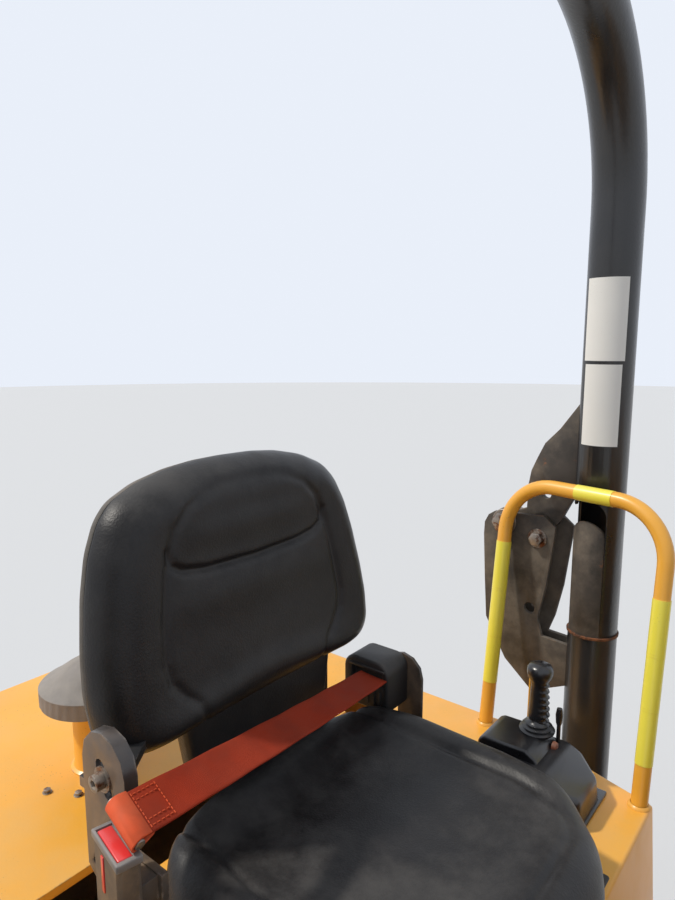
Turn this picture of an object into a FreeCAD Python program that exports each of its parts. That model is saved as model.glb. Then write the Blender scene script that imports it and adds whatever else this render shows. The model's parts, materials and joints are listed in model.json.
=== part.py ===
"""Articulated site dumper with a front tipping skip, an open driver's station and a folding roll-over hoop.

The frame has +X forwards, +Y to the driver's left and +Z up. The origin lies on the ground, under the middle
of the machine's box. Lengths are millimetres and angles are degrees.
"""

import FreeCAD
import Part
import Sketcher
import math
import os
import re
from types import SimpleNamespace
from FreeCAD import Placement, Rotation, Vector

X, Y, Z = Vector(1, 0, 0), Vector(0, 1, 0), Vector(0, 0, 1)
SIDES = (("left", 1), ("right", -1))

# The driving dimensions: name, value, what it sizes.
SIZES = (
    ("overall_length", 4300, "tow jaw to skip lip"),
    ("frame_half", 400, "side plates of both chassis from the middle plane"),
    ("plate", 20, "side plate thickness"),
    ("pivot_x", -250, "steering pivot"),
    ("pivot_z", 570, "height of the centre pivot"),
    ("bumper_depth", 70, "counterweight along X"),
    ("jaw_reach", 90, "tow jaw behind the counterweight"),
    ("rail_rear_x", "=-overall_length / 2 + jaw_reach + bumper_depth", "rear side plate, rear end"),
    ("axle_rear_x", "=rail_rear_x + 590", "rear axle"),
    ("axle_front_x", 900, "front axle"),
    ("wheel_track", 1840, "middle to middle of a pair of wheels"),
    ("tyre_diameter", 1080, "tyre over its lugs"),
    ("tyre_width", 400, "tyre over its walls"),
    ("lug_depth", 30, "lug height over the tread"),
    ("lug_count", 14, "lugs on each half of a tread"),
    ("rim_diameter", 508, "rim over its flanges"),
    ("rim_width", 300, "rim over its flanges"),
    ("axle_tube", 150, "axle tube diameter"),
    ("axle_bowl", 350, "differential bowl diameter"),
    ("hub_diameter", 300, "hub flange"),
    ("fit", 0.5, "gap between pieces that only rest on each other"),
    ("running", 0.05, "radial clearance of a pin in its bore"),
    ("moving_gap", 5, "gap between moving pieces"),
    ("rail_bottom", "=tyre_diameter / 2 + 100", "rear side plate, lower edge"),
    ("rail_top", 930, "rear side plate, upper edge and deck seat"),
    ("rail_front_x", -460, "rear side plate, front end"),
    ("bumper_half", 480, "counterweight half width"),
    ("bumper_bottom", 560, "counterweight, lower edge"),
    ("tow_bore", 33, "tow pin hole"),
    ("tow_plate", 20, "tow jaw plate"),
    ("tow_gap", 60, "tow jaw opening"),
    ("tow_z", 700, "tow jaw height"),
    ("bonnet_front_x", -1100, "bonnet, front edge and hinge"),
    ("engine_rear_x", "=rail_rear_x + 110", "engine block, rear face"),
    ("engine_length", "=bonnet_front_x - engine_rear_x - 80", "engine block"),
    ("engine_width", "=1.4 * frame_half", "engine block"),
    ("engine_height", 560, "engine block"),
    ("bearer", 50, "engine bearer thickness"),
    ("bearer_z", 730, "engine bearer, lower face"),
    ("deck_top", 1505, "deck height"),
    ("deck_rear_x", -1060, "deck, rear edge"),
    ("deck_corner_x", -810, "deck, where the side starts to narrow"),
    ("deck_front_x", -533, "deck, front edge"),
    ("deck_half", 560, "deck half width"),
    ("deck_front_half", 477, "deck half width at its front edge"),
    ("deck_flare", 33, "how far the deck's faces lean out at the bottom"),
    ("plinth_half", 200, "seat plinth half width"),
    ("plinth_top", 1505, "seat plinth height"),
    ("floor_top", 1100, "driver's floor"),
    ("floor_plate_thick", 10, "driver's floor plate"),
    ("floor_half", "=frame_half", "driver's floor half width"),
    ("floor_front_x", -120, "driver's floor, front edge"),
    ("post_x", -694, "roll-over hoop, leg middle"),
    ("post_y", 630, "roll-over hoop, leg middle"),
    ("post_tube", 88.9, "hoop tube diameter"),
    ("post_wall", 6, "hoop tube wall"),
    ("post_foot_z", 960, "hoop post, foot plate"),
    ("split_z", 1712, "height where the hoop's leg meets its post"),
    ("sleeve_top", 1930, "top of the half sleeve"),
    ("notch_top", 1972, "top of the notch in the hoop's leg"),
    ("hoop_top", 2825, "hoop height"),
    ("hoop_bend", 300, "hoop bend radius at the tube's middle"),
    ("fold_x", -870, "hoop fold pin"),
    ("fold_z", 1900, "hoop fold pin"),
    ("fold_pin", 24, "hoop fold pin diameter"),
    ("hinge_plate", 10, "lower hinge plate"),
    ("knuckle_plate", 15, "upper knuckle plate"),
    ("rail_tube", 26.9, "grab rail tube"),
    ("rail_wall", 3, "grab rail wall"),
    ("rail_top_z", 1990, "grab rail height"),
    ("rail_bend", 95, "grab rail bend radius"),
    ("rail_lean", 62, "how far the grab rail's top stands out"),
    ("rail_rear_foot_x", -859, "grab rail, rear foot"),
    ("rail_rear_foot_y", 520, "grab rail, rear foot"),
    ("rail_front_foot_x", -551, "grab rail, front foot"),
    ("rail_front_foot_y", 455, "grab rail, front foot"),
    ("bonnet_wall", 14, "bonnet panel with its folded edge"),
    ("hinge_y", 330, "bonnet hinges from the middle plane"),
    ("hinge_z", 1490, "bonnet hinge pins"),
    ("hinge_pin", 12, "bonnet hinge pins"),
    ("hinge_leaf", 60, "bonnet hinge, length of its knuckle"),
    ("bonnet_rear_x", "=rail_rear_x + 15", "bonnet, rear foot"),
    ("bonnet_ridge_x", "=bonnet_rear_x + 300", "bonnet, rear ridge"),
    ("bonnet_top", 1537, "bonnet top"),
    ("bonnet_half", 545, "bonnet half width"),
    ("bonnet_foot_z", 960, "bonnet, lower edge"),
    ("louvre_count", 7, "slots in the bonnet's rear face"),
    ("cap_x", "=bonnet_front_x + 0.353 * (bonnet_ridge_x - bonnet_front_x)", "intake cap"),
    ("cap_y", -50, "intake cap"),
    ("cap_diameter", 172, "intake cap"),
    ("cap_skirt", 28, "intake cap's skirt"),
    ("cap_dome", 46, "intake cap's dome"),
    ("stub_diameter", 75, "intake stub"),
    ("stub_height", 135, "intake stub"),
    ("cushion_half", 260, "seat cushion half width"),
    ("back_half", 246, "seat back half width"),
    ("cushion_top", 1650, "seat cushion height"),
    ("cushion_thick", 95, "seat cushion"),
    ("cushion_front_x", -508, "seat cushion, front"),
    ("cushion_depth", 440, "seat cushion, front to rear"),
    ("back_front_x", -950, "seat back, front face"),
    ("back_thick", 85, "seat back pad"),
    ("back_bottom", 1790, "seat back, lower edge"),
    ("back_top", 2100, "seat back, upper edge"),
    ("shell_thick", 30, "seat back shell"),
    ("bracket_y", 284, "recliner bracket from the middle plane"),
    ("bracket_top", 1858, "right recliner bracket"),
    ("bracket_plate", 6, "recliner bracket"),
    ("bracket_low_top", 1735, "left bracket, which holds the belt retractor"),
    ("bracket_flange", 16, "recliner bracket's rolled edge"),
    ("belt_width", 50, "lap belt"),
    ("belt_thick", 3, "lap belt"),
    ("wheel_ring", 190, "steering wheel radius"),
    ("wheel_grip", 14, "steering wheel ring's section radius"),
    ("column_tilt", 22, "steering column from upright"),
    ("column_x", -215, "steering wheel hub"),
    ("column_z", 1740, "steering wheel hub"),
    ("steer_pin", 60, "steering pivot pin"),
    ("steer_hub", 150, "centre pivot hub"),
    ("steer_hub_height", 250, "centre pivot hub"),
    ("roll_shaft", 90, "oscillation shaft"),
    ("roll_barrel", 170, "oscillation barrel"),
    ("front_plate_x", -50, "front chassis, rear cross plate"),
    ("front_bottom", "=tyre_diameter / 2 + 80", "front side plate, lower edge"),
    ("front_top", 800, "front side plate, upper edge"),
    ("tip_x", 1250, "skip pivot"),
    ("tip_z", 800, "skip pivot"),
    ("tip_shaft", 70, "skip pivot shaft"),
    ("skip_wall", 10, "skip plate"),
    ("skip_floor", 920, "underside of the skip's floor"),
    ("skip_floor_rear_x", 400, "skip floor, rear edge"),
    ("skip_floor_front_x", 1400, "skip floor, front edge"),
    ("skip_floor_half", 480, "skip floor half width"),
    ("skip_knee_z", 1000, "skip side, first fold"),
    ("skip_knee_half", 590, "skip side, first fold"),
    ("skip_waist_z", 1350, "skip side, second fold"),
    ("skip_waist_half", 1030, "skip side, second fold"),
    ("skip_rim_half", 1070, "skip rim half width"),
    ("skip_rim_z", 1650, "skip rim height"),
    ("skip_rear_x", 165, "skip back wall at the rim"),
    ("skip_lip_z", 1420, "skip front lip height"),
    ("rim_bar", 35, "skip rim bar's width outside the wall"),
    ("rim_height", 70, "skip rim bar's height"),
    ("ear_y", 340, "skip ears from the middle plane"),
    ("ear_plate", 25, "skip ear"),
    ("tip_ram_y", 265, "tipping rams from the middle plane"),
    ("tip_ram_x", 550, "tipping ram, lower pin"),
    ("tip_ram_z", 450, "tipping ram, lower pin"),
    ("tip_eye_x", 950, "tipping ram, rod eye"),
    ("tip_eye_z", 800, "tipping ram, rod eye"),
    ("ram_tube", 90, "tipping ram barrel"),
    ("ram_rod", 45, "tipping ram rod"),
    ("ram_length", 430, "tipping ram barrel, from its pin"),
    ("steer_length", 380, "steering ram barrel, from its pin"),
    ("steer_draw_in", 140, "how far the steering ram's rod goes in from straight ahead"),
    ("eye_outer", 66, "ram eye"),
    ("eye_pin", 32, "ram pin"),
    ("eye_width", 40, "ram eye"),
    ("steer_ram_y", -246, "steering ram"),
    ("steer_arm", 250, "steering arm, pivot to eye"),
    ("steer_arm_angle", -100, "steering arm, from straight ahead"),
    ("steer_ram_x", -850, "steering ram, rear pin"),
    ("steer_ram_z", 560, "steering ram"),
    ("window_half", 60, "window for the steering ram in the yoke's wall, half its side"),
    ("steer_tube", 64, "steering ram barrel"),
    ("steer_rod", 32, "steering ram rod"),
    ("step_half", 560, "step, outer edge"),
    ("lamp_diameter", 110, "rear lamp"),
)

doc = FreeCAD.newDocument("SiteDumper")
sheet = doc.addObject("Spreadsheet::Sheet", "Dims")
for row, (alias, amount, note) in enumerate(SIZES, 1):
    sheet.set(f"A{row}", note)
    sheet.set(f"B{row}", str(amount))
    sheet.setAlias(f"B{row}", alias)
doc.recompute()
d = SimpleNamespace(**{alias: float(getattr(sheet, alias)) for alias, _, _ in SIZES})
ALIASES = re.compile(r"\b(" + "|".join(alias for alias, _, _ in SIZES) + r")\b")


def bind(thing, name, text):
    """Ties one property to an expression written with the sheet's names."""
    thing.setExpression(name, ALIASES.sub(r"Dims.\1", str(text)))


def place(thing, at=(0, 0, 0), rotation=None):
    """Puts an object at a point whose coordinates are expressions, turned by a fixed rotation."""
    thing.Placement = Placement(Vector(), rotation or Rotation())
    for axis, text in zip("xyz", at):
        bind(thing, f"Placement.Base.{axis}", text)
    return thing


def block(label, length, width, height, at):
    """A box from its corner of least X, Y and Z."""
    made = doc.addObject("Part::Box", label)
    for name, text in (("Length", length), ("Width", width), ("Height", height)):
        bind(made, name, text)
    return place(made, at)


ALONG = {"X": Rotation(Y, 90), "Y": Rotation(X, -90), "Z": Rotation()}


def bar(label, diameter, length, at, along="Z", rotation=None):
    """A round bar that starts at a point and runs along an axis."""
    made = doc.addObject("Part::Cylinder", label)
    bind(made, "Radius", f"({diameter}) / 2")
    bind(made, "Height", length)
    return place(made, at, rotation or ALONG[along])


def fuse(label, shapes):
    made = doc.addObject("Part::MultiFuse", label)
    made.Shapes = shapes
    return made


def cut(label, base, tool):
    made = doc.addObject("Part::Cut", label)
    made.Base, made.Tool = base, tool
    return made


PLANES = {"XY": "XY_Plane", "XZ": "XZ_Plane", "YZ": "YZ_Plane"}


def profile(label, plane, points, depth, at=(0, 0, 0), midplane=False, rotation=None):
    """A body padded from a closed outline, each corner's two coordinates tied to the sheet.

    An XZ outline grows towards -Y, or both ways from its plane with midplane.
    """
    body = doc.addObject("PartDesign::Body", label)
    sketch = body.newObject("Sketcher::SketchObject", label + "_outline")
    origin = next(f for f in body.Origin.OriginFeatures if f.Role == PLANES[plane])
    sketch.AttachmentSupport = [(origin, "")]
    sketch.MapMode = "FlatFace"
    count = len(points)
    corners = [math.tau * k / count for k in range(count)]
    start = [Vector(100 * math.cos(a), 100 * math.sin(a)) for a in corners]
    for k in range(count):
        sketch.addGeometry(Part.LineSegment(start[k], start[(k + 1) % count]), False)
    for k in range(count):
        sketch.addConstraint(Sketcher.Constraint("Coincident", k, 2, (k + 1) % count, 1))
    for k, (u, v) in enumerate(points):
        for kind, text, now in (("DistanceX", u, start[k].x), ("DistanceY", v, start[k].y)):
            index = sketch.addConstraint(Sketcher.Constraint(kind, k, 1, now))
            bind(sketch, f"Constraints[{index}]", text)
    doc.recompute()
    pad = body.newObject("PartDesign::Pad", label + "_pad")
    pad.Profile = sketch
    pad.Midplane = midplane
    bind(pad, "Length", depth)
    place(body, at, rotation)
    doc.recompute()
    return body


def feature(label, shape):
    """A piece whose form only Part's own functions make, from the same sheet."""
    made = doc.addObject("Part::Feature", label)
    made.Shape = shape
    return made


def v(x, y, z):
    return Vector(x, y, z)


def face_of(points):
    return Part.Face(Part.makePolygon(list(points) + [points[0]]))


def prism(points, along):
    """A solid from a closed outline of vectors, extruded by a vector."""
    return face_of(points).extrude(along)


def mirrored(shape):
    return shape.mirror(Vector(), Y)


def panel(a, b, c, e):
    """One flat face, or two triangles where the four corners leave their plane."""
    across = (b - a).cross(c - a)
    if abs(across.normalize().dot(e - a)) < 1e-6:
        return [face_of([a, b, c, e])]
    return [face_of([a, b, c]), face_of([a, c, e])]


def shell_of(rings, closed=False):
    """A solid with flat faces between matching rings of corners."""
    faces = []
    for ring, following in zip(rings, rings[1:] + rings[:1] if closed else rings[1:]):
        for k in range(len(ring)):
            after = (k + 1) % len(ring)
            faces += panel(ring[k], ring[after], following[after], following[k])
    if not closed:
        faces += [face_of(rings[0]), face_of(rings[-1])]
    solid = Part.Solid(Part.Shell(faces))
    if solid.Volume < 0:
        solid.reverse()
    return solid


def rounded_points(corners, radius, steps):
    """A path's points, with each inner corner rounded by an arc in short steps."""
    points = [corners[0]]
    for before, corner, after in zip(corners, corners[1:], corners[2:]):
        back, ahead = (before - corner).normalize(), (after - corner).normalize()
        half = back.getAngle(ahead) / 2
        centre = corner + (back + ahead).normalize() * (radius / math.sin(half))
        out = (corner - centre).normalize()
        side = (ahead - back).normalize()
        sweep = math.pi / 2 - half
        for k in range(steps + 1):
            turn = -sweep + 2 * sweep * k / steps
            points.append(centre + out * (radius * math.cos(turn)) + side * (radius * math.sin(turn)))
    return points + [corners[-1]]


def tube(points, diameter, sides, normal):
    """A round bar along a flat path, as straight runs with mitred joints."""
    rings = []
    for k, point in enumerate(points):
        before = (point - points[max(k - 1, 0)]) if k else (points[1] - point)
        after = (points[k + 1] - point) if k + 1 < len(points) else before
        before, after = Vector(before).normalize(), Vector(after).normalize()
        along = (before + after).normalize()
        across = along.cross(normal).normalize() * (1 / max(along.dot(before), 0.1))
        rings.append([point + (normal * math.cos(a) + across * math.sin(a)) * (diameter / 2)
                      for a in (math.tau * n / sides for n in range(sides))])
    return shell_of(rings)


def turned(section, sides, base=Vector(), along=Z, ring=False):
    """Corners of (radius, distance) taken round an axis in flat faces. With ring, the section closes on itself."""
    made = shell_of([[v(r * math.cos(math.tau * k / sides), r * math.sin(math.tau * k / sides), z)
                      for k in range(sides)] for r, z in section], ring)
    made.Placement = Placement(base, Rotation(Z, along))
    return made


def stadium(a, b, radius, steps=5):
    """The outline of a slot in the XZ plane between two centres."""
    heading = math.atan2(b.z - a.z, b.x - a.x)
    points = []
    for centre, first in ((b, heading - math.pi / 2), (a, heading + math.pi / 2)):
        for k in range(steps + 1):
            turn = first + math.pi * k / steps
            points.append(v(centre.x + radius * math.cos(turn), centre.y, centre.z + radius * math.sin(turn)))
    return points


NODES = {}


def node(name, thing):
    """Names the object that is written to parts/NAME.step."""
    thing.Label = name
    NODES[name] = thing
    return thing


# Rear chassis: two side plates, joined by the pivot yoke in front and the counterweight behind.
RAIL = [
    ("rail_front_x", "rail_bottom + 60"),
    ("rail_front_x", "rail_top"),
    ("rail_rear_x", "rail_top"),
    ("rail_rear_x", "rail_bottom + 60"),
    ("axle_rear_x - 260", "rail_bottom"),
    ("axle_rear_x + 260", "rail_bottom"),
]
for side, sign in SIDES:
    node(f"chassis_rail_{side}", profile(f"rail_{side}", "XZ", RAIL, "plate",
                                         at=(0, f"{sign} * (frame_half - plate / 2)", 0), midplane=True))

yoke_wall = block("yoke_wall", "plate * 1.5", "2 * (frame_half - plate)",
                  "rail_top - pivot_z + steer_hub_height / 2 + 60",
                  ("rail_front_x - plate * 1.5", "-(frame_half - plate)",
                   "pivot_z - steer_hub_height / 2 - 60"))
ram_window = block("ram_window", "plate * 3", "2 * window_half", "2 * window_half",
                   ("rail_front_x - plate * 2", "steer_ram_y - window_half", "steer_ram_z - window_half"))
yoke_parts = [cut("yoke_wall_with_window", yoke_wall, ram_window)]
for level, height in (("upper", "pivot_z + steer_hub_height / 2 + moving_gap"),
                      ("lower", "pivot_z - steer_hub_height / 2 - moving_gap - plate * 1.5")):
    ear = profile(f"yoke_ear_{level}", "XY", [
        ("rail_front_x - 10", "-260"), ("pivot_x", "-90"), ("pivot_x + 75", "-45"),
        ("pivot_x + 75", "45"), ("pivot_x", "90"), ("rail_front_x - 10", "260")], "plate * 1.5",
                  at=(0, 0, height))
    yoke_parts.append(ear)
yoke_parts.append(bar("yoke_pin", "steer_pin", "steer_hub_height + 2 * moving_gap + plate",
                      ("pivot_x", 0, "pivot_z - steer_hub_height / 2 - moving_gap - plate / 2")))
node("pivot_yoke", fuse("pivot_yoke_solid", yoke_parts))

node("post_outrigger", block("outrigger", "120", "2 * (post_y + 70)", "post_foot_z - rail_top",
                             ("post_x - 60", "-(post_y + 70)", "rail_top")))

bumper = profile("bumper", "XY", [
    ("rail_rear_x", "-bumper_half"), ("rail_rear_x", "bumper_half"),
    ("rail_rear_x - bumper_depth + 25", "bumper_half"), ("rail_rear_x - bumper_depth", "bumper_half - 60"),
    ("rail_rear_x - bumper_depth", "-(bumper_half - 60)"), ("rail_rear_x - bumper_depth + 25",
                                                            "-bumper_half")],
    "rail_top - bumper_bottom", at=(0, 0, "bumper_bottom"))
jaws = [block(f"jaw_{level}", "jaw_reach", "150", "tow_plate",
              ("-overall_length / 2", "-75", height))
        for level, height in (("upper", "tow_z + tow_gap / 2"), ("lower", "tow_z - tow_gap / 2 - tow_plate"))]
tow_hole = bar("tow_hole", "tow_bore", "tow_gap + 6 * tow_plate",
               ("(rail_rear_x - bumper_depth - overall_length / 2) / 2", 0,
                "tow_z - tow_gap / 2 - 3 * tow_plate"))
node("counterweight", cut("counterweight_solid", fuse("bumper_and_jaw", [bumper] + jaws), tow_hole))

# The engine is closed in, so it is one block on two bearers between the side plates.
bearers = [block(f"bearer_{k}", "80", "2 * (frame_half - plate)", "bearer", (x, "-(frame_half - plate)",
        "bearer_z"))
           for k, x in enumerate(("engine_rear_x + 60", "engine_rear_x + engine_length - 140"))]
node("engine_bearers", fuse("bearers", bearers))
node("engine_block", block("engine", "engine_length", "engine_width", "engine_height",
                           ("engine_rear_x", "-engine_width / 2", "bearer_z + bearer")))

# Deck: two tanks with leaning faces, the seat's plinth between them and the driver's floor in front.
for side, sign in SIDES:
    def outline(spread, z):
        return [v(x, sign * y, z) for x, y in (
            (d.deck_rear_x, d.plinth_half), (d.deck_rear_x, d.deck_half + spread),
            (d.deck_corner_x, d.deck_half + spread), (d.deck_front_x + spread, d.deck_front_half + spread),
            (d.deck_front_x + spread, d.plinth_half))]
    tank = shell_of([outline(d.deck_flare, d.rail_top), outline(0, d.deck_top)])
    # The foot of the hoop post stands on the outrigger, beside the tank.
    notch = Part.makeBox(130, 2 * d.post_y + 200, d.post_foot_z - d.rail_top,
                         v(d.post_x - 65, -d.post_y - 100, d.rail_top))
    node(f"deck_{side}", feature(f"tank_{side}", tank.cut(notch)))
node("seat_plinth", block("plinth", "cushion_front_x - deck_rear_x - 40", "2 * plinth_half",
                          "plinth_top - post_foot_z",
                          ("deck_rear_x", "-plinth_half", "post_foot_z")))
floor_rear = "(deck_front_x + deck_flare)"
floor_sheet = block("floor_sheet", f"floor_front_x - {floor_rear}", "2 * floor_half", "floor_plate_thick",
                    (floor_rear, "-floor_half", "floor_top - floor_plate_thick"))
skirts = [block(f"floor_skirt_{side}", f"floor_front_x - {floor_rear}", "plate / 2", "floor_top - rail_top",
                (floor_rear, "floor_half - plate / 2" if sign > 0 else "-floor_half", "rail_top")) for side,
          sign in SIDES]
toe_board = block("toe_board", "plate / 2", "2 * floor_half", "160", ("floor_front_x - plate / 2",
                                                                      "-floor_half", "floor_top - 10"))
node("floor_plate", fuse("floor_fabrication", [floor_sheet, toe_board] + skirts))

# Steps hang from the side plates in front of the rear wheels.
for side, sign in SIDES:
    inner = "frame_half" if sign > 0 else "-step_half"
    tread = [block(f"tread_{side}_{k}", "260", "step_half - frame_half", "8", ("rail_front_x - 300", inner,
            z))
             for k, z in enumerate(("500", "740"))]
    hangers = [block(f"hanger_{side}_{k}", "8", "step_half - frame_half", "rail_top - 500", (x, inner, "500"))
               for k, x in enumerate(("rail_front_x - 300", "rail_front_x - 48"))]
    node(f"step_{side}", fuse(f"step_fabrication_{side}", tread + hangers))

# Roll-over hoop. Each post ends in a half sleeve that the leg's notch fits round, and a pair of hinge plates
# carries the fold pin. The scarf's plane is turned so that the sleeve shows on the driver's side.
TUBE_R = d.post_tube / 2
TUBE_SIDES = 12
SCARF = math.radians(65)
HINGE_OUT = (d.knuckle_plate / 2 + d.moving_gap, d.knuckle_plate / 2 + d.moving_gap + d.hinge_plate)
KEEP = TUBE_R + d.moving_gap


def leg_tube(bottom, top, y):
    inner = TUBE_R - d.post_wall
    section = [(TUBE_R, 0), (TUBE_R, top - bottom), (inner, top - bottom), (inner, 0)]
    return turned(section, TUBE_SIDES, v(d.post_x, y, bottom), ring=True)


def scarf_half(y, inner):
    """A block on one side of the scarf's plane, which stands on the leg's axis."""
    turn = math.degrees(SCARF) + (180 if inner else 0)
    half = Part.makeBox(200, 400, 1400, v(0, -200, 0))
    half.rotate(Vector(), Z, turn)
    half.translate(v(d.post_x, y, d.split_z - 100))
    return half


def arch(y, top, radius, below):
    """A tall slot with a round top, looked at square to the scarf's plane."""
    centre = top - radius
    window = Part.makeBox(400, 2 * radius, centre - below, v(-200, -radius, below))
    window = window.fuse(turned([(radius, 0), (radius, 400)], TUBE_SIDES, v(-200, 0, centre), X))
    window.rotate(Vector(), Z, math.degrees(SCARF))
    window.translate(v(d.post_x, y, 0))
    return window


def pin_hole(y, diameter):
    return Part.makeCylinder(diameter / 2, 200, v(d.fold_x, y - 100, d.fold_z), Y)


def hinge_plates(y):
    """The lower pair of plates, from the post's rear up to the fold pin."""
    ear = 42
    back = d.fold_x - ear - 20
    front = d.post_x - KEEP - 8
    outline = [(d.fold_x - 18, d.fold_z + ear), (front - 14, d.fold_z + 30), (front, d.fold_z + 6),
               (front - 20, d.split_z + 60),
               (front - 12, d.split_z - 20), (d.post_x - TUBE_R + 6, d.split_z - 30),
               (d.post_x - TUBE_R + 6, d.split_z - 120),
               (d.post_x - TUBE_R - 52, d.split_z - 145), (back, d.split_z + 10), (back, d.fold_z + 6),
               (d.fold_x - ear, d.fold_z + 30)]
    plates = []
    for low in (HINGE_OUT[0], -HINGE_OUT[1]):
        plates.append(prism([v(x, y + low, z) for x, z in outline], v(0, d.hinge_plate, 0)))
    return plates[0].fuse(plates[1])


def knuckle(y):
    """The hoop's own plate, between the lower pair."""
    back = d.post_x - TUBE_R + 5
    slim = d.post_x - KEEP - 2
    outline = [(back, d.notch_top + 172), (d.fold_x - 12, d.notch_top + 60), (d.fold_x - 34, d.fold_z + 22),
               (d.fold_x - 30, d.fold_z - 20), (d.fold_x, d.fold_z - 36), (d.fold_x + 60, d.fold_z - 34),
               (slim - 20, d.fold_z + 10), (slim, d.notch_top - 20), (back, d.notch_top)]
    return prism([v(x, y - d.knuckle_plate / 2, z) for x, z in outline], v(0, d.knuckle_plate, 0))


post_solid = leg_tube(d.post_foot_z + 12, d.split_z, d.post_y)
sleeve = leg_tube(d.split_z - 0.01, d.sleeve_top + 5, d.post_y).common(scarf_half(d.post_y, True))
sleeve = sleeve.common(arch(d.post_y, d.sleeve_top, TUBE_R, d.split_z - 20))
foot = Part.makeBox(120, 115, 12, v(d.post_x - 60, d.post_y - 45, d.post_foot_z))
fold_reach = (HINGE_OUT[0] + HINGE_OUT[1]) / 2
fold_bar = Part.makeCylinder(d.fold_pin / 2, 2 * fold_reach, v(d.fold_x, d.post_y - fold_reach, d.fold_z), Y)
post_solid = post_solid.fuse([sleeve, foot, hinge_plates(d.post_y), fold_bar])
for side, sign in SIDES:
    node(f"hoop_post_{side}", feature(f"post_{side}", post_solid if sign > 0 else mirrored(post_solid)))

leg_axis_top = d.hoop_top - TUBE_R
leg_foot = d.split_z + d.fit
hoop_path = rounded_points([v(d.post_x, -d.post_y, leg_foot), v(d.post_x, -d.post_y, leg_axis_top),
                            v(d.post_x, d.post_y, leg_axis_top), v(d.post_x, d.post_y, leg_foot)],
                           d.hoop_bend, 6)
hoop_solid = tube(hoop_path, d.post_tube, TUBE_SIDES, X)
inner_r = TUBE_R - d.post_wall
bores = [turned([(inner_r, 0), (inner_r, d.notch_top + 90 - leg_foot)], TUBE_SIDES, v(d.post_x, y, leg_foot))
         for y in (d.post_y, -d.post_y)]
notch_half = scarf_half(d.post_y, True).common(arch(d.post_y, d.notch_top, TUBE_R + 4, d.split_z - 20))
hoop_solid = hoop_solid.cut(bores + [notch_half, mirrored(notch_half)])
knuckles = [knuckle(d.post_y), mirrored(knuckle(d.post_y))]
hoop_solid = hoop_solid.fuse(knuckles)
holes = [pin_hole(d.post_y, d.fold_pin + 2 * d.running), pin_hole(-d.post_y, d.fold_pin + 2 * d.running)]
node("rollover_hoop", feature("hoop", hoop_solid.cut(holes)))


# Beacons stand on the hoop's top bar.
BEACON = [(52, -8), (52, 12), (44, 16), (44, 78), (30, 98)]
beacons = []
for y in (-80, 80):
    saddle = Part.makeBox(44, 44, 30, v(d.post_x - 22, y - 22, d.hoop_top - 20))
    bar_below = turned([(TUBE_R + d.fit / 2, -60), (TUBE_R + d.fit / 2, 60)], TUBE_SIDES,
                       v(d.post_x, y, leg_axis_top), Y)
    beacons.append(turned(BEACON, 10, v(d.post_x, y, d.hoop_top + 8)).fuse(saddle.cut(bar_below)))
node("beacons", feature("beacon_pair", Part.makeCompound(beacons)))

# Grab rails: round tubes bent to an upside-down U that leans outwards from the deck.
for side, sign in SIDES:
    rear_foot = v(d.rail_rear_foot_x, sign * d.rail_rear_foot_y, d.deck_top - 20)
    front_foot = v(d.rail_front_foot_x, sign * d.rail_front_foot_y, d.deck_top - 20)
    rise = v(0, sign * d.rail_lean, d.rail_top_z - d.rail_tube / 2 - d.deck_top + 20)
    path = rounded_points([rear_foot, rear_foot + rise, front_foot + rise, front_foot], d.rail_bend, 4)
    flat = (front_foot - rear_foot).cross(rise).normalize()
    rail = tube(path, d.rail_tube, 8, flat)
    rail = rail.cut(Part.makeBox(600, 300, 40, v(-1000, sign * 500 - 150, d.deck_top - 40)))
    node(f"grab_rail_{side}", feature(f"rail_tube_{side}", rail))

# Bonnet: a folded shell that lifts at its rear about a hinge behind the seat.
SIDE_VIEW = [(d.bonnet_front_x, d.bonnet_foot_z), (d.bonnet_front_x, d.bonnet_top),
             (d.bonnet_ridge_x, d.bonnet_top),
             (d.bonnet_rear_x + 60, d.bonnet_top - 170), (d.bonnet_rear_x, d.bonnet_foot_z)]


def hood(grow, half):
    outline = [(SIDE_VIEW[0][0], SIDE_VIEW[0][1] - (1 if grow else 0)),
               (SIDE_VIEW[1][0], SIDE_VIEW[1][1] - grow)]
    outline += [(SIDE_VIEW[2][0] + grow * 0.3, SIDE_VIEW[2][1] - grow),
                (SIDE_VIEW[3][0] + grow, SIDE_VIEW[3][1] - grow * 0.4)]
    outline += [(SIDE_VIEW[4][0] + grow, SIDE_VIEW[4][1] - (1 if grow else 0))]
    return prism([v(x, -half, z) for x, z in outline], v(0, 2 * half, 0))


shell = hood(0, d.bonnet_half)
edges = [e for e in shell.Edges if abs(e.BoundBox.YMin) > d.bonnet_half - 1 and abs(e.BoundBox.YMax) > d.bonnet_half - 1
         and e.BoundBox.YMin * e.BoundBox.YMax > 0 and e.BoundBox.ZMax > d.bonnet_foot_z + 1 and e.BoundBox.XMin < d.bonnet_front_x - 1]
shell = shell.makeFillet(30, edges)
shell = shell.cut(hood(d.bonnet_wall, d.bonnet_half - d.bonnet_wall))
slots = []
for k in range(int(d.louvre_count)):
    y = (k - (d.louvre_count - 1) / 2) * 110
    slots.append(Part.makeBox(160, 34, 190, v(d.bonnet_rear_x - 50, y - 17, d.bonnet_foot_z + 90)))

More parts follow.
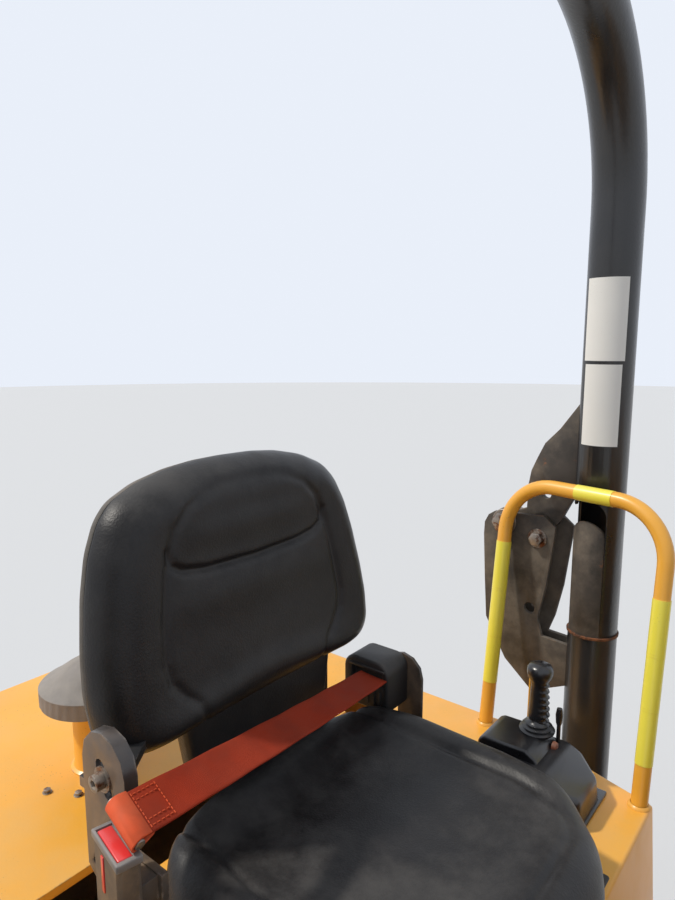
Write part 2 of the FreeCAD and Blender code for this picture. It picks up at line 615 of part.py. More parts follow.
# Two hinges: knuckles on the bonnet's front edge turn on pins between ears on the deck's rear face.
HINGE = v((d.bonnet_front_x + d.deck_rear_x) / 2, 0, d.hinge_z)
KNUCKLE_R, HALF_LEAF = d.hinge_pin / 2 + 6, d.hinge_leaf / 2
leaves, ears = [], []
for y in (d.hinge_y, -d.hinge_y):
    at = HINGE + v(0, y, 0)
    barrel = turned([(KNUCKLE_R, -HALF_LEAF), (KNUCKLE_R, HALF_LEAF)], 12, at, Y)
    leaf = Part.makeBox(HINGE.x - d.bonnet_front_x + d.bonnet_wall, d.hinge_leaf, 8,
                        v(d.bonnet_front_x - d.bonnet_wall, y - HALF_LEAF, d.bonnet_top - d.bonnet_wall - 6))
    drop = Part.makeBox(8, d.hinge_leaf, d.bonnet_top - d.bonnet_wall - HINGE.z, v(HINGE.x - 8, y - HALF_LEAF,
            HINGE.z))
    pin_space = Part.makeCylinder(d.hinge_pin / 2 + d.running, d.hinge_leaf + 2, at - v(0, HALF_LEAF + 1, 0),
                                  Y)
    leaves.append(leaf.fuse([drop, barrel]).cut(pin_space))
    ears.append(Part.makeCylinder(d.hinge_pin / 2, d.hinge_leaf + 10, at - v(0, HALF_LEAF + 5, 0), Y))
    for low in (y - HALF_LEAF - 9, y + HALF_LEAF + 1):
        ear_plate = Part.makeBox(d.deck_rear_x - HINGE.x + KNUCKLE_R, 8, 2 * KNUCKLE_R,
                                 v(HINGE.x - KNUCKLE_R, low, HINGE.z - KNUCKLE_R))
        ears.append(ear_plate)
node("bonnet", feature("bonnet_shell", shell.cut(slots).fuse(leaves)))
hinge_sets = [ears[0].fuse(ears[1:3]), ears[3].fuse(ears[4:6])]
node("bonnet_hinges", feature("hinge_ears", Part.makeCompound(hinge_sets)))

stub = turned([(d.stub_diameter / 2, 0), (d.stub_diameter / 2, d.stub_height)], 12,
              v(d.cap_x, d.cap_y, d.bonnet_top))
CAP_R = d.cap_diameter / 2
dome = turned([(CAP_R - 4, 0), (CAP_R, 4), (CAP_R, d.cap_skirt), (CAP_R - 8, d.cap_skirt + 7),
              (34, d.cap_skirt + d.cap_dome - 6), (14, d.cap_skirt + d.cap_dome)],
             16, v(d.cap_x, d.cap_y, d.bonnet_top + d.stub_height - 12))
node("intake_cap", feature("intake", stub.fuse(dome)))

# Seat: base, cushion, back pad with its shell, recliner brackets, belt, buckle and retractor.
node("seat_base", block("seat_pan", "cushion_depth - 30", "2 * (cushion_half - 40)",
                        "cushion_top - cushion_thick - plinth_top - fit",
                        ("cushion_front_x - cushion_depth + 15", "-(cushion_half - 40)", "plinth_top")))
cushion = Part.makeBox(d.cushion_depth, 2 * d.cushion_half, d.cushion_thick,
                       v(d.cushion_front_x - d.cushion_depth, -d.cushion_half,
                         d.cushion_top - d.cushion_thick))
upright = [e for e in cushion.Edges if e.BoundBox.ZLength > 1]
cushion = cushion.makeChamfer(50, upright)
node("seat_cushion", feature("cushion",
                             cushion.makeChamfer(18, [e for e in cushion.Edges if e.BoundBox.ZMin > d.cushion_top - 1])))
BACK_REAR = d.back_front_x - d.back_thick


def back_outline(x, inset):
    half, low, high = d.back_half - inset, d.back_bottom + inset, d.back_top - inset
    return [v(x, -half + 25, low), v(x, half - 25, low), v(x, half, low + 40), v(x, half - 8, high - 90),
            v(x, half - 60, high), v(x, -half + 60, high), v(x, -half + 8, high - 90), v(x, -half, low + 40)]


node("seat_back", feature("back_pad", prism(back_outline(BACK_REAR, 0), v(d.back_thick, 0, 0))))
node("seat_shell", feature("back_shell", prism(back_outline(BACK_REAR - d.shell_thick - d.fit, 6),
                                               v(d.shell_thick, 0, 0))))
BRACKET_R = 38
BRACKET_REAR = d.back_front_x + 17
BRACKET_FRONT = BRACKET_REAR + 2 * BRACKET_R
PLATE_Y = d.bracket_y - d.bracket_plate


def bracket_outline(y, top, shrink=0.0):
    """A bracket's side view, an upright strip with a rounded top."""
    rear, front, low = BRACKET_REAR + shrink, BRACKET_FRONT - shrink, d.deck_top - (20 if shrink else 0)
    corners = [v(rear, y, low), v(rear, y, top - shrink), v(front, y, top - shrink), v(front, y, low)]
    return face_of(rounded_points(corners, BRACKET_R - shrink - 0.5, 3))


def bracket_plate(top):
    """An upright plate on the driver's left, slimmer below, with a foot on the deck."""
    upright = bracket_outline(PLATE_Y, top).extrude(v(0, d.bracket_plate, 0))
    slim, knee = BRACKET_REAR + 30, d.cushion_top + 18
    relief = prism([v(BRACKET_REAR - 5, PLATE_Y - 5, z) for z in (d.deck_top + 8, knee + 28)]
                   + [v(slim, PLATE_Y - 5, z) for z in (knee, d.deck_top + 8)], v(0, d.bracket_plate + 10, 0))
    inner = d.cushion_half - 40
    bracket_foot = Part.makeBox(2 * BRACKET_R, d.bracket_y - inner, 8, v(BRACKET_REAR, inner, d.deck_top))
    return upright.cut(relief).fuse(bracket_foot)


rolled = bracket_outline(d.bracket_y - d.bracket_flange, d.bracket_top).extrude(v(0, d.bracket_flange, 0))
rolled = rolled.cut([
    bracket_outline(d.bracket_y - d.bracket_flange, d.bracket_top, d.bracket_plate).extrude(v(0,
            d.bracket_flange, 0)),
    Part.makeBox(BRACKET_R - 4, 60, 400, v(BRACKET_REAR - 5, d.bracket_y - 50, d.cushion_top - 200)),
    Part.makeBox(3 * BRACKET_R, 60, d.cushion_top - d.deck_top + 10, v(BRACKET_REAR - 5, d.bracket_y - 50,
            d.deck_top - 5))])
slot_hole = prism(stadium(v(-888, PLATE_Y - 10, 1795), v(-900, PLATE_Y - 10, 1820), 8), v(0, 30, 0))
low_hole = turned([(5, 0), (5, 30)], 8, v(-918, PLATE_Y - 10, 1701), Y)
right_bracket = mirrored(bracket_plate(d.bracket_top).fuse(rolled).cut([slot_hole, low_hole]))

# A flat bar from the right bracket carries the pad, and stands on a stay at its other end.
BAR_TOP, BAR_THICK, STAY_Y = d.back_bottom - d.fit, 12, 205
PAD_REAR, BAR_FRONT = d.back_front_x - 50, d.back_front_x + 12
carrier = prism([v(x, y, BAR_TOP - BAR_THICK) for x, y in (
    (PAD_REAR, -d.bracket_y + 2), (BRACKET_REAR + 38, -d.bracket_y + 2), (BRACKET_REAR + 38, -262),
    (BAR_FRONT, -190), (BAR_FRONT, STAY_Y), (PAD_REAR, STAY_Y))], v(0, 0, BAR_THICK))
stay = Part.makeBox(43, 8, BAR_TOP - BAR_THICK - d.deck_top, v(PAD_REAR - 5, STAY_Y - 8, d.deck_top))
stay_top = Part.makeBox(38, 8, BAR_THICK, v(PAD_REAR, STAY_Y - 8, BAR_TOP - BAR_THICK))
carried = right_bracket.fuse([carrier, stay, stay_top])
node("seat_brackets", feature("brackets", Part.makeCompound([carried, bracket_plate(d.bracket_low_top)])))

BUCKLE = v(-811, -324, 1802)
BELT_START = v(-805.5, -315.5, 1824)
BELT_ACROSS = v(0.96, -0.05, -0.26)
buckle_body = Part.makeBox(60, 23, 84, v(-30, -11.5, -84))
buckle_body = buckle_body.makeChamfer(4, buckle_body.Edges)
buckle_body.rotate(Vector(), Z, -12)
buckle_body.translate(BUCKLE)
FACE_Y = -(d.bracket_y + d.fit)
stalk = Part.makeBox(30, 8, 150, v(-872, FACE_Y - 8, 1590))
link = Part.makeBox(82, 8, 34, v(-872, FACE_Y - 8, 1724))
arm = Part.makeBox(30, 34, 30, v(-826, FACE_Y - 34, 1726))
RETRACTOR_Y = PLATE_Y - d.fit - 62
retractor = Part.makeBox(88, 62, 84, v(-971, RETRACTOR_Y, d.cushion_top + 4))
node("belt_retractor", feature("retractor", retractor.makeChamfer(8, retractor.Edges)))


def strap(start, end, across, width, thick):
    """A flat strip between two points, with its width along a given direction."""
    run = end - start
    wide = (across - run * (across.dot(run) / run.dot(run))).normalize()
    up = run.cross(wide).normalize()
    corners = [start + wide * (a * width / 2) + up * (b * thick / 2) for a, b in ((-1, -1), (1, -1), (1, 1),
            (-1, 1))]
    return prism(corners, run)


tongue = strap(BUCKLE - v(0, 0, 3), v(-806, -311, 1820.2), BELT_ACROSS, 38, d.belt_thick)
node("belt_buckle", feature("buckle", buckle_body.fuse([stalk, link, arm, tongue])))
belt = strap(BELT_START, v(-908, RETRACTOR_Y - 3.5, 1715), BELT_ACROSS, d.belt_width, d.belt_thick)
node("lap_belt", feature("belt", belt))

# Control console on the left deck: a flat top for the levers that droops in front, its flanks drawn in.
CONSOLE_TOP = d.deck_top + 77
side_view = [(-800, d.deck_top), (-790, CONSOLE_TOP - 12), (-776, CONSOLE_TOP), (-664, CONSOLE_TOP),
             (-606, CONSOLE_TOP - 30), (-603, d.deck_top)]
flanks = shell_of([
    [v(x, y, d.deck_top) for x, y in ((-800, 300), (-800, 452), (-640, 452), (-603, 425), (-603, 335),
                                      (-640, 300))],
    [v(x, y, CONSOLE_TOP) for x, y in ((-796, 312), (-796, 448), (-644, 448), (-610, 420), (-610, 342),
                                       (-644, 312))]])
console = prism([v(x, 290, z) for x, z in side_view], v(0, 170, 0)).common(flanks)
node("control_console", feature("console", console))
grip = turned([(9, 0), (9, 26), (17, 30), (19, 54), (16, 102), (21, 116), (10, 136)], 8,
              v(-712, 423, CONSOLE_TOP + d.fit))
thin = turned([(4, 0), (4, 45), (9, 51), (4, 63)], 6, v(-678, 430, CONSOLE_TOP + d.fit))
node("control_levers", feature("levers", Part.makeCompound([grip, thin])))

# Steering: pedestal, column, instrument binnacle and wheel.
UP = v(-math.sin(math.radians(d.column_tilt)), 0, math.cos(math.radians(d.column_tilt)))
HUB = v(d.column_x - 45, 0, d.column_z)
PEDESTAL_TOP = d.column_z - 260
pedestal = shell_of([
    [v(x, y, d.floor_top) for x, y in ((-235, -80), (-235, 80), (-132, 80), (-132, -80))],
    [v(x, y, PEDESTAL_TOP) for x, y in ((-215, -60), (-215, 60), (-132, 60), (-132, -60))]])
column_foot = HUB - UP * 270
column = Part.makeCylinder(26, 270 - 30 - d.fit, column_foot, UP)
node("steering_column", feature("column", pedestal.fuse(column)))
binnacle = prism([v(x, -135, z) for x, z in (
    (-210, PEDESTAL_TOP + d.fit), (-128, PEDESTAL_TOP + d.fit), (-70, PEDESTAL_TOP + 80),
                                             (-60, PEDESTAL_TOP + 210),
    (-95, PEDESTAL_TOP + 220), (-175, PEDESTAL_TOP + 120))], v(0, 270, 0))
binnacle = binnacle.cut(Part.makeCylinder(26 + d.fit, 400, column_foot - UP * 60, UP))
node("binnacle", feature("binnacle_body", binnacle))
grip_turns = [math.tau * n / 6 for n in range(6)]
grip_section = [(d.wheel_ring - d.wheel_grip + d.wheel_grip * math.cos(a), d.wheel_grip * math.sin(a))
                for a in grip_turns]
ring = turned(grip_section, 22, ring=True)
wheel_hub = turned([(42, -30), (42, 8), (34, 15)], 10)
spokes = []
for angle in (90, 210, 330):
    spoke = Part.makeBox(d.wheel_ring - d.wheel_grip - 25, 26, 9, v(25, -13, -7))
    spoke.rotate(Vector(), Z, angle)
    spokes.append(spoke)
steering = ring.fuse([wheel_hub] + spokes)
steering.rotate(Vector(), Y, -d.column_tilt)
steering.translate(HUB)
node("steering_wheel", feature("steering", steering))

# Wheels. A tyre has two rows of slanted lugs, each lug cranked so that it follows the tread's round.
TYRE_R = d.tyre_diameter / 2
TREAD_R = TYRE_R - d.lug_depth
HALF = d.tyre_width / 2
RIM_R = d.rim_diameter / 2
RIM_HALF = d.rim_width / 2
RIM_FLANGE = 20
WHEEL_SIDES = 20


def lug(row):
    """One cranked lug at the top of the tyre, its corners reaching the tyre's own radius."""
    inner, crank, outer = (-74, 6), (-22, 88), (30, HALF - 12)
    width = 62
    trail = [inner, crank, outer]
    low, high = inner[0], outer[0] + width
    top = math.sqrt(TYRE_R ** 2 - ((high - low) / 2) ** 2)
    outline = trail + [(t + width, y) for t, y in reversed(trail)]
    base = TREAD_R - 22
    made = prism([v(t - (low + high) / 2, row * y, base) for t, y in outline], v(0, 0, top - base))
    return made, math.degrees(math.atan2((high - low) / 2, top))


WALL = [(RIM_R, RIM_HALF), (RIM_R + RIM_FLANGE + 2, RIM_HALF), (RIM_R + 150, HALF), (TREAD_R - 50, HALF - 8),
        (TREAD_R, HALF - 44)]
carcass = turned([(r, -y) for r, y in WALL] + WALL[::-1], WHEEL_SIDES, along=Y, ring=True)
pitch = 360 / d.lug_count
lugs = []
for row in (-1, 1):
    for k in range(int(d.lug_count)):
        made, reach = lug(row)
        made.rotate(Vector(), Y, (k + (0.5 if row > 0 else 0)) * pitch)
        lugs.append(made)
tyre = carcass.fuse(lugs)
tyre.rotate(Vector(), Y, 180 - reach)
HALF_RIM = [(RIM_R, RIM_HALF), (RIM_R + RIM_FLANGE, RIM_HALF), (RIM_R - 12, RIM_HALF + 10)]
rim = turned([(r, -y) for r, y in HALF_RIM] + HALF_RIM[::-1], WHEEL_SIDES, along=Y, ring=True)
rim_disc = turned([(RIM_R - 6, -8), (RIM_R - 6, 6), (112, 14), (100, 80)], WHEEL_SIDES, along=Y)
rim = rim.fuse([rim_disc, Part.makeCylinder(60, 30, v(0, 62, 0), Y)])
rim.rotate(Vector(), Y, 180 - reach)
for end, x in (("rear", d.axle_rear_x), ("front", d.axle_front_x)):
    for side, sign in SIDES:
        for name, solid in (("tyre", tyre), ("rim", rim)):
            placed = (solid if sign > 0 else mirrored(solid)).copy()
            placed.translate(v(x, sign * d.wheel_track / 2, TYRE_R))
            node(f"{name}_{end}_{side}", feature(f"{name}_{end}_{side}_solid", placed))


def axle(name, x, seat):
    """A driven beam axle, turned about Y, with pads up to the side plates."""
    bowl, beam, drum, flange = d.axle_bowl / 2, d.axle_tube / 2, d.hub_diameter * 0.4, d.hub_diameter / 2
    end = d.wheel_track / 2 - 8 - d.fit
    half = [(bowl, 70), (bowl * 0.72, 140), (beam, 200), (beam, end - 190), (drum, end - 180),
            (drum, end - 40), (flange, end - 40), (flange, end)]
    casing = turned([(r, -y) for r, y in reversed(half)] + half, 12, v(x, 0, TYRE_R), Y)
    pads = [Part.makeBox(140, 120, seat - TYRE_R, v(x - 70, sign * (d.frame_half - d.plate / 2) - 60,
                                                    TYRE_R)) for _, sign in SIDES]
    return node(name, feature(name + "_solid", casing.fuse(pads)))


axle("rear_axle", d.axle_rear_x, d.rail_bottom)
axle("front_axle", d.axle_front_x, d.front_bottom)

# Centre pivot: it swings about the upright pin and carries the front chassis on a lengthwise shaft.
hub = turned([(d.steer_hub / 2, 0), (d.steer_hub / 2, d.steer_hub_height)], 12,
             v(d.pivot_x, 0, d.pivot_z - d.steer_hub_height / 2))
barrel_end = d.front_plate_x - 2 * d.moving_gap
barrel = turned([(d.roll_barrel / 2, 0), (d.roll_barrel / 2, barrel_end - d.pivot_x - 55)], 12,
                v(d.pivot_x + 55, 0, d.pivot_z), X)
EYE_HALF = d.eye_width / 2 + d.moving_gap
STEER_EYE = v(d.pivot_x + d.steer_arm * math.cos(math.radians(d.steer_arm_angle)),
              d.steer_arm * math.sin(math.radians(d.steer_arm_angle)), d.steer_ram_z)
arm_outline = stadium(v(d.pivot_x, 0, 0), v(STEER_EYE.x, 0, STEER_EYE.y), 30, 4)
arms = [prism([v(p.x, p.z, z) for p in arm_outline], v(0, 0, 15)) for z in (d.steer_ram_z + EYE_HALF,
        d.steer_ram_z - EYE_HALF - 15)]
pivot = hub.fuse([barrel] + arms)
pivot = pivot.cut([Part.makeCylinder(d.steer_pin / 2 + d.running, d.steer_hub_height + 20,
                                     v(d.pivot_x, 0, d.pivot_z - d.steer_hub_height / 2 - 10)),
                   Part.makeCylinder(d.roll_shaft / 2 + d.running, 400, v(d.pivot_x + 62, 0, d.pivot_z), X)])
node("centre_pivot", feature("pivot", pivot))

# Front chassis.
roll_shaft = bar("roll_shaft", "roll_shaft", "front_plate_x - pivot_x - 67", ("pivot_x + 67", 0, "pivot_z"),
                 "X")
cross_plate = block("cross_plate", "plate * 1.5", "2 * (frame_half - plate)", "front_top - pivot_z + 130",
                    ("front_plate_x", "-(frame_half - plate)", "pivot_z - 130"))
node("front_yoke", fuse("front_yoke_solid", [roll_shaft, cross_plate]))
nose = 88
for side, sign in SIDES:
    outline = [(d.front_plate_x, d.pivot_z - 130), (d.front_plate_x, d.front_top),
               (d.tip_x - 190, d.front_top), (d.tip_x - 50, d.tip_z + 72),
               (d.tip_x + 60, d.tip_z - 64), (d.tip_x - 60, d.front_bottom),
               (d.tip_ram_x + 200, d.front_bottom), (d.tip_ram_x + 60, d.tip_ram_z - 50),
               (d.tip_ram_x - 60, d.tip_ram_z - 50), (d.tip_ram_x - 260, d.pivot_z - 60),
               (d.front_plate_x + 60, d.pivot_z - 130)]
    low_y = d.frame_half - d.plate if sign > 0 else -d.frame_half
    side_plate = prism([v(x, low_y, z) for x, z in outline], v(0, d.plate, 0))
    side_plate = side_plate.fuse(Part.makeCylinder(nose, d.plate, v(d.tip_x, low_y, d.tip_z), Y))
    node(f"front_plate_{side}", feature(f"front_side_{side}", side_plate))
pins = [bar("tip_shaft_bar", "tip_shaft", "2 * (frame_half - plate)", ("tip_x", "-(frame_half - plate)",
        "tip_z"), "Y"),
        bar("tip_ram_pin", "eye_pin", "2 * (frame_half - plate)", ("tip_ram_x", "-(frame_half - plate)",
                                                                   "tip_ram_z"), "Y")]
node("tip_pins", fuse("tip_pins_pair", pins))

# Skip: the side view and the cross section, both open at the top, meet in one hollow of folded plate.
LIP = d.overall_length / 2 - d.rim_bar
OVER = 300
BEYOND = 5000


def skip_side(offset):
    rear_slope = (d.skip_floor_rear_x - d.skip_rear_x) / (d.skip_rim_z - d.skip_floor)
    points = [(d.skip_floor_rear_x, d.skip_floor), (d.skip_floor_front_x, d.skip_floor), (LIP, d.skip_lip_z),
              (LIP + 40, d.skip_lip_z + OVER), (d.skip_rear_x - rear_slope * OVER, d.skip_rim_z + OVER)]
    wire = Part.makePolygon([v(x, -BEYOND, z) for x, z in points + points[:1]])
    if offset:
        wire = wire.makeOffset2D(offset, 2)
    return Part.Face(wire).extrude(v(0, 2 * BEYOND, 0))


def skip_section(offset):
    half = [(d.skip_floor_half, d.skip_floor), (d.skip_knee_half, d.skip_knee_z),
            (d.skip_waist_half, d.skip_waist_z),
            (d.skip_rim_half, d.skip_rim_z), (d.skip_rim_half, d.skip_rim_z + OVER)]
    points = half + [(-y, z) for y, z in reversed(half)]
    wire = Part.makePolygon([v(-BEYOND, y, z) for y, z in points + points[:1]])
    if offset:
        wire = wire.makeOffset2D(offset, 2)
    return Part.Face(wire).extrude(v(2 * BEYOND, 0, 0))


def band(low):
    """Everything under the skip's top edge, or with low the band of that height along it."""
    top = [(-BEYOND, d.skip_rim_z), (d.skip_floor_front_x + 60, d.skip_rim_z), (LIP - 20, d.skip_lip_z),
           (BEYOND, d.skip_lip_z)]
    base = [(x, z - low) for x, z in top] if low else [(-BEYOND, 0), (BEYOND, 0)]
    return prism([v(x, -BEYOND, z) for x, z in top + base[::-1]], v(0, 2 * BEYOND, 0))


outer = skip_side(0).common(skip_section(0)).common(band(0))
cavity = skip_side(-d.skip_wall).common(skip_section(-d.skip_wall))
rim_ring = skip_side(d.rim_bar).common(skip_section(d.rim_bar)).common(band(d.rim_height))
for end in (d.skip_rear_x - d.rim_bar, d.overall_length / 2 - BEYOND):
    rim_ring = rim_ring.common(Part.makeBox(BEYOND, 2 * BEYOND, BEYOND, v(end, -BEYOND, 0)))
skip = outer.fuse(rim_ring).cut(cavity)


def ear(y, thick, outline, hole=None):
    plate_solid = prism([v(x, y - thick / 2, z) for x, z in outline], v(0, thick, 0))
    return plate_solid.cut(hole) if hole else plate_solid


FLOOR = d.skip_floor
pivot_bore = Part.makeCylinder(d.tip_shaft / 2 + d.running, 1200, v(d.tip_x, -600, d.tip_z), Y)
hardware = []
for sign in (1, -1):
    lobe = Part.makeCylinder(66, d.ear_plate, v(d.tip_x, sign * d.ear_y - d.ear_plate / 2, d.tip_z), Y)
    plate_ear = ear(sign * d.ear_y, d.ear_plate, [(d.tip_x - 190, FLOOR), (d.tip_x - 50, d.tip_z - 40),
                                                  (d.tip_x + 50, d.tip_z - 40), (d.tip_x + 140, FLOOR)])
    hardware.append(plate_ear.fuse(lobe).cut(pivot_bore))
    for offset in (-1, 1):
        hardware.append(ear(sign * d.tip_ram_y + offset * (EYE_HALF + 6), 12, [
            (d.tip_eye_x - 90, FLOOR), (d.tip_eye_x - 40, d.tip_eye_z - 38),
                    (d.tip_eye_x + 40, d.tip_eye_z - 38), (d.tip_eye_x + 90, FLOOR)]))
slope = (d.skip_floor_rear_x - d.skip_rear_x) / (d.skip_rim_z - d.skip_floor)
for y in (-360, 0, 360):
    rib = prism([v(d.skip_rear_x + 2, y - 25, d.skip_rim_z - 60), v(d.skip_rear_x + slope * 60 - 26, y - 25,
                                                                    d.skip_rim_z - 60),
                 v(d.skip_floor_rear_x - 30, y - 25, FLOOR + 60), v(d.skip_floor_rear_x + 4, y - 25, FLOOR)],
                v(0, 50, 0))
    hardware.append(rib)
node("skip", feature("skip_solid", skip.fuse(hardware)))


# Hydraulic rams: barrels turn on their lower pins, rods slide in glands. The rod eyes stand free between their ears.
RAM_SIDES = 10


def ram(start, end, tube_d, rod_d, barrel_length, draw_in, pin_axis):
    """A barrel and its rod, in place between two points; the rod can go in by draw_in."""
    run = (end - start)
    length = run.Length
    heading = run.normalize()
    eye_r, pin_r = d.eye_outer / 2, d.eye_pin / 2

    def eye(centre):
        ring_solid = turned([(eye_r, 0), (eye_r, d.eye_width)], RAM_SIDES,
                            centre - pin_axis * (d.eye_width / 2), pin_axis)
        return ring_solid, Part.makeCylinder(pin_r + d.running, d.eye_width * 2,
                                             centre - pin_axis * d.eye_width, pin_axis)

    outer, bore, gland = tube_d / 2, rod_d / 2 + d.running, tube_d / 2 + 5
    bore_end = eye_r + 30
    barrel_solid = turned([(outer, eye_r - 4), (outer, barrel_length - 26), (gland, barrel_length - 26),
                           (gland, barrel_length),
                           (bore, barrel_length), (bore, bore_end)], RAM_SIDES, start, heading)
    foot, foot_hole = eye(start)
    head, head_hole = eye(end)
    rod_solid = turned([(rod_d / 2, bore_end + 2 + draw_in), (rod_d / 2, length - eye_r + 4)], RAM_SIDES,
                       start, heading)
    barrel_solid = barrel_solid.fuse(foot).cut(foot_hole)
    return barrel_solid, rod_solid.fuse(head).cut(head_hole)


tipping = [ram(v(d.tip_ram_x, y, d.tip_ram_z), v(d.tip_eye_x, y, d.tip_eye_z), d.ram_tube, d.ram_rod,
               d.ram_length, 0, Y)
           for y in (d.tip_ram_y, -d.tip_ram_y)]
node("tip_ram_barrels", feature("tip_barrels", Part.makeCompound([pair[0] for pair in tipping])))
node("tip_ram_rods", feature("tip_rods", Part.makeCompound([pair[1] for pair in tipping])))
steer_parts = ram(v(d.steer_ram_x, STEER_EYE.y, d.steer_ram_z), STEER_EYE, d.steer_tube, d.steer_rod,
                  d.steer_length, d.steer_draw_in, Z)
node("steer_ram_barrel", feature("steer_barrel", steer_parts[0]))
node("steer_ram_rod", feature("steer_rod_solid", steer_parts[1]))
anchor_wall = Part.makeBox(60, 15, 210, v(d.steer_ram_x - 30, -(d.frame_half - d.plate), d.steer_ram_z - 60))
anchor_ears = [Part.makeBox(66, d.frame_half - d.plate + d.steer_ram_y + 40, 15,
                            v(d.steer_ram_x - 40, -(d.frame_half - d.plate), z))
               for z in (d.steer_ram_z + d.eye_width / 2 + 2, d.steer_ram_z - d.eye_width / 2 - 17)]
anchor_pin = Part.makeCylinder(d.eye_pin / 2, d.eye_width + 20,
                               v(d.steer_ram_x, STEER_EYE.y, d.steer_ram_z - d.eye_width / 2 - 10))
node("steer_anchor", feature("anchor", anchor_wall.fuse(anchor_ears + [anchor_pin])))

LAMP = [(d.lamp_diameter / 2, 0), (d.lamp_diameter / 2, 30), (d.lamp_diameter / 2 - 8, 36)]
lamps = [turned(LAMP, 12, v(d.rail_rear_x - d.bumper_depth, y, d.rail_top - 90), -X) for y in (-330, 330)]
node("rear_lamps", feature("lamps", Part.makeCompound(lamps)))

doc.recompute()
os.makedirs("parts", exist_ok=True)
for thing in doc.Objects:
    if "Invalid" in thing.State or "Error" in thing.State:
        raise SystemExit(f"{thing.Label} is {thing.State}")
for name, thing in NODES.items():
    shape = thing.Shape
    if shape.isNull() or not shape.isValid() or shape.Volume <= 0:
        raise SystemExit(f"{name} has no sound solid")
for name, thing in NODES.items():
    thing.Shape.exportStep(f"parts/{name}.step")
    box = thing.Shape.BoundBox
    print(f"{name}: {len(thing.Shape.Solids)} solid(s), {thing.Shape.Volume / 1e9:.4f} m3, "
          f"x {box.XMin:.0f}..{box.XMax:.0f} y {box.YMin:.0f}..{box.YMax:.0f} z {box.ZMin:.0f}..{box.ZMax:.0f}")
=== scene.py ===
# %% [markdown]
# A site dumper with a front skip, an open driver's seat and a folding roll-over hoop, dressed over its CAD
# frame. Every length is in metres: X runs forwards, Y to the driver's left and Z up.
# The frame comes first, because each new piece takes its place from it.

# %% Load the frame
import contextlib
import json
from math import atan2, cos, exp, floor, hypot, pi, radians, sin, tau

import bmesh
import bpy
from mathutils import Matrix, Vector


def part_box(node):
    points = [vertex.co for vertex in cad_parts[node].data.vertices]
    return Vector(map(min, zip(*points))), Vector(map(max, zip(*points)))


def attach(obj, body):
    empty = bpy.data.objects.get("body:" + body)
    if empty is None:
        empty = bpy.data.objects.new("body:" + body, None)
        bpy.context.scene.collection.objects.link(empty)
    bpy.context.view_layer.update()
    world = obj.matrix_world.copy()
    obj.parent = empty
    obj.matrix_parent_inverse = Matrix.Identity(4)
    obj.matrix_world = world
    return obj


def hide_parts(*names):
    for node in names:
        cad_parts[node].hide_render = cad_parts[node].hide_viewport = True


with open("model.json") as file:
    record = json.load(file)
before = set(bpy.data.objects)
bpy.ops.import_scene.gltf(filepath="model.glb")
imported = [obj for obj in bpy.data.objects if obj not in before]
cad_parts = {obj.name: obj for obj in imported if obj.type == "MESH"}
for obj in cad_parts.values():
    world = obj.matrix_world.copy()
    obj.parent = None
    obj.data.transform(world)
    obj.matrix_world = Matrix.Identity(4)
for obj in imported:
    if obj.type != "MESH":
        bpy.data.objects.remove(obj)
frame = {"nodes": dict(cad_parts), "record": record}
NODES = frame["nodes"]
BODY_OF = {node: body for body, nodes in frame["record"]["behaviour"]["bodies"].items() for node in nodes}
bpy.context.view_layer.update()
X, Y, Z = Vector((1, 0, 0)), Vector((0, 1, 0)), Vector((0, 0, 1))
SIDES = (("left", 1), ("right", -1))

# %% [markdown]
# The camera stands where the photographer stood: in front of the seat on the machine's right, a little above
# the seat back, and looks back and to the left. Its place and lens were worked out from the seat, rail and hoop.

# %% Camera
bpy.ops.object.camera_add(location=(-0.31, -0.629, 2.25), rotation=(radians(90 - 8.91), 0, radians(38.66)))
camera = bpy.context.object
camera.data.lens = 27.04
camera.data.sensor_width = 36
bpy.context.scene.camera = camera
print("camera", [round(v, 3) for v in camera.location])

# %% [markdown]
# A pale floor and a pale world stand in for a studio. The sun lamp comes from behind and from the machine's
# right, so that the seat back throws its shadow over the cushion as it does outdoors. A wide sun angle keeps the
# shadow's edge soft.

# %% Floor, world and sun
bpy.context.scene.view_settings.view_transform = "Standard"


def wire(tree, *pairs):
    """Links an output to an input, for each (from node, output, to node, input)."""
    for source, output, target, socket in pairs:
        tree.links.new(source.outputs[output], target.inputs[socket])


def node_in(tree, kind, **values):
    """A new shader node. A value whose name is one of its inputs goes there, any other is a setting."""
    made = tree.nodes.new("ShaderNode" + kind)
    for name, value in values.items():
        label = name.replace("_", " ")
        socket = made.inputs.get(label) or made.inputs.get(label.title())
        if socket is not None and not hasattr(made, name):
            socket.default_value = value
        else:
            setattr(made, name, value)
    return made


def pale_rays(tree, strong, weak):
    """The camera, mirrors and glass see the pale colour, other rays the plain light level."""
    path = node_in(tree, "LightPath")
    first = node_in(tree, "Math", operation="MAXIMUM")
    second = node_in(tree, "Math", operation="MAXIMUM")
    level = node_in(tree, "MapRange")
    level.inputs["To Min"].default_value, level.inputs["To Max"].default_value = weak, strong
    wire(tree, (path, "Is Camera Ray", first, 0), (path, "Is Glossy Ray", first, 1), (first, 0, second, 0),
        (path, "Is Transmission Ray", second, 1), (second, 0, level, "Value"))
    return level


world = bpy.data.worlds.new("studio")
bpy.context.scene.world = world
world.use_nodes = True
sky = world.node_tree.nodes["Background"]
sky.inputs["Color"].default_value = (0.86, 0.91, 1.0, 1)
wire(world.node_tree, (pale_rays(world.node_tree, 0.95, 0.72), "Result", sky, "Strength"))

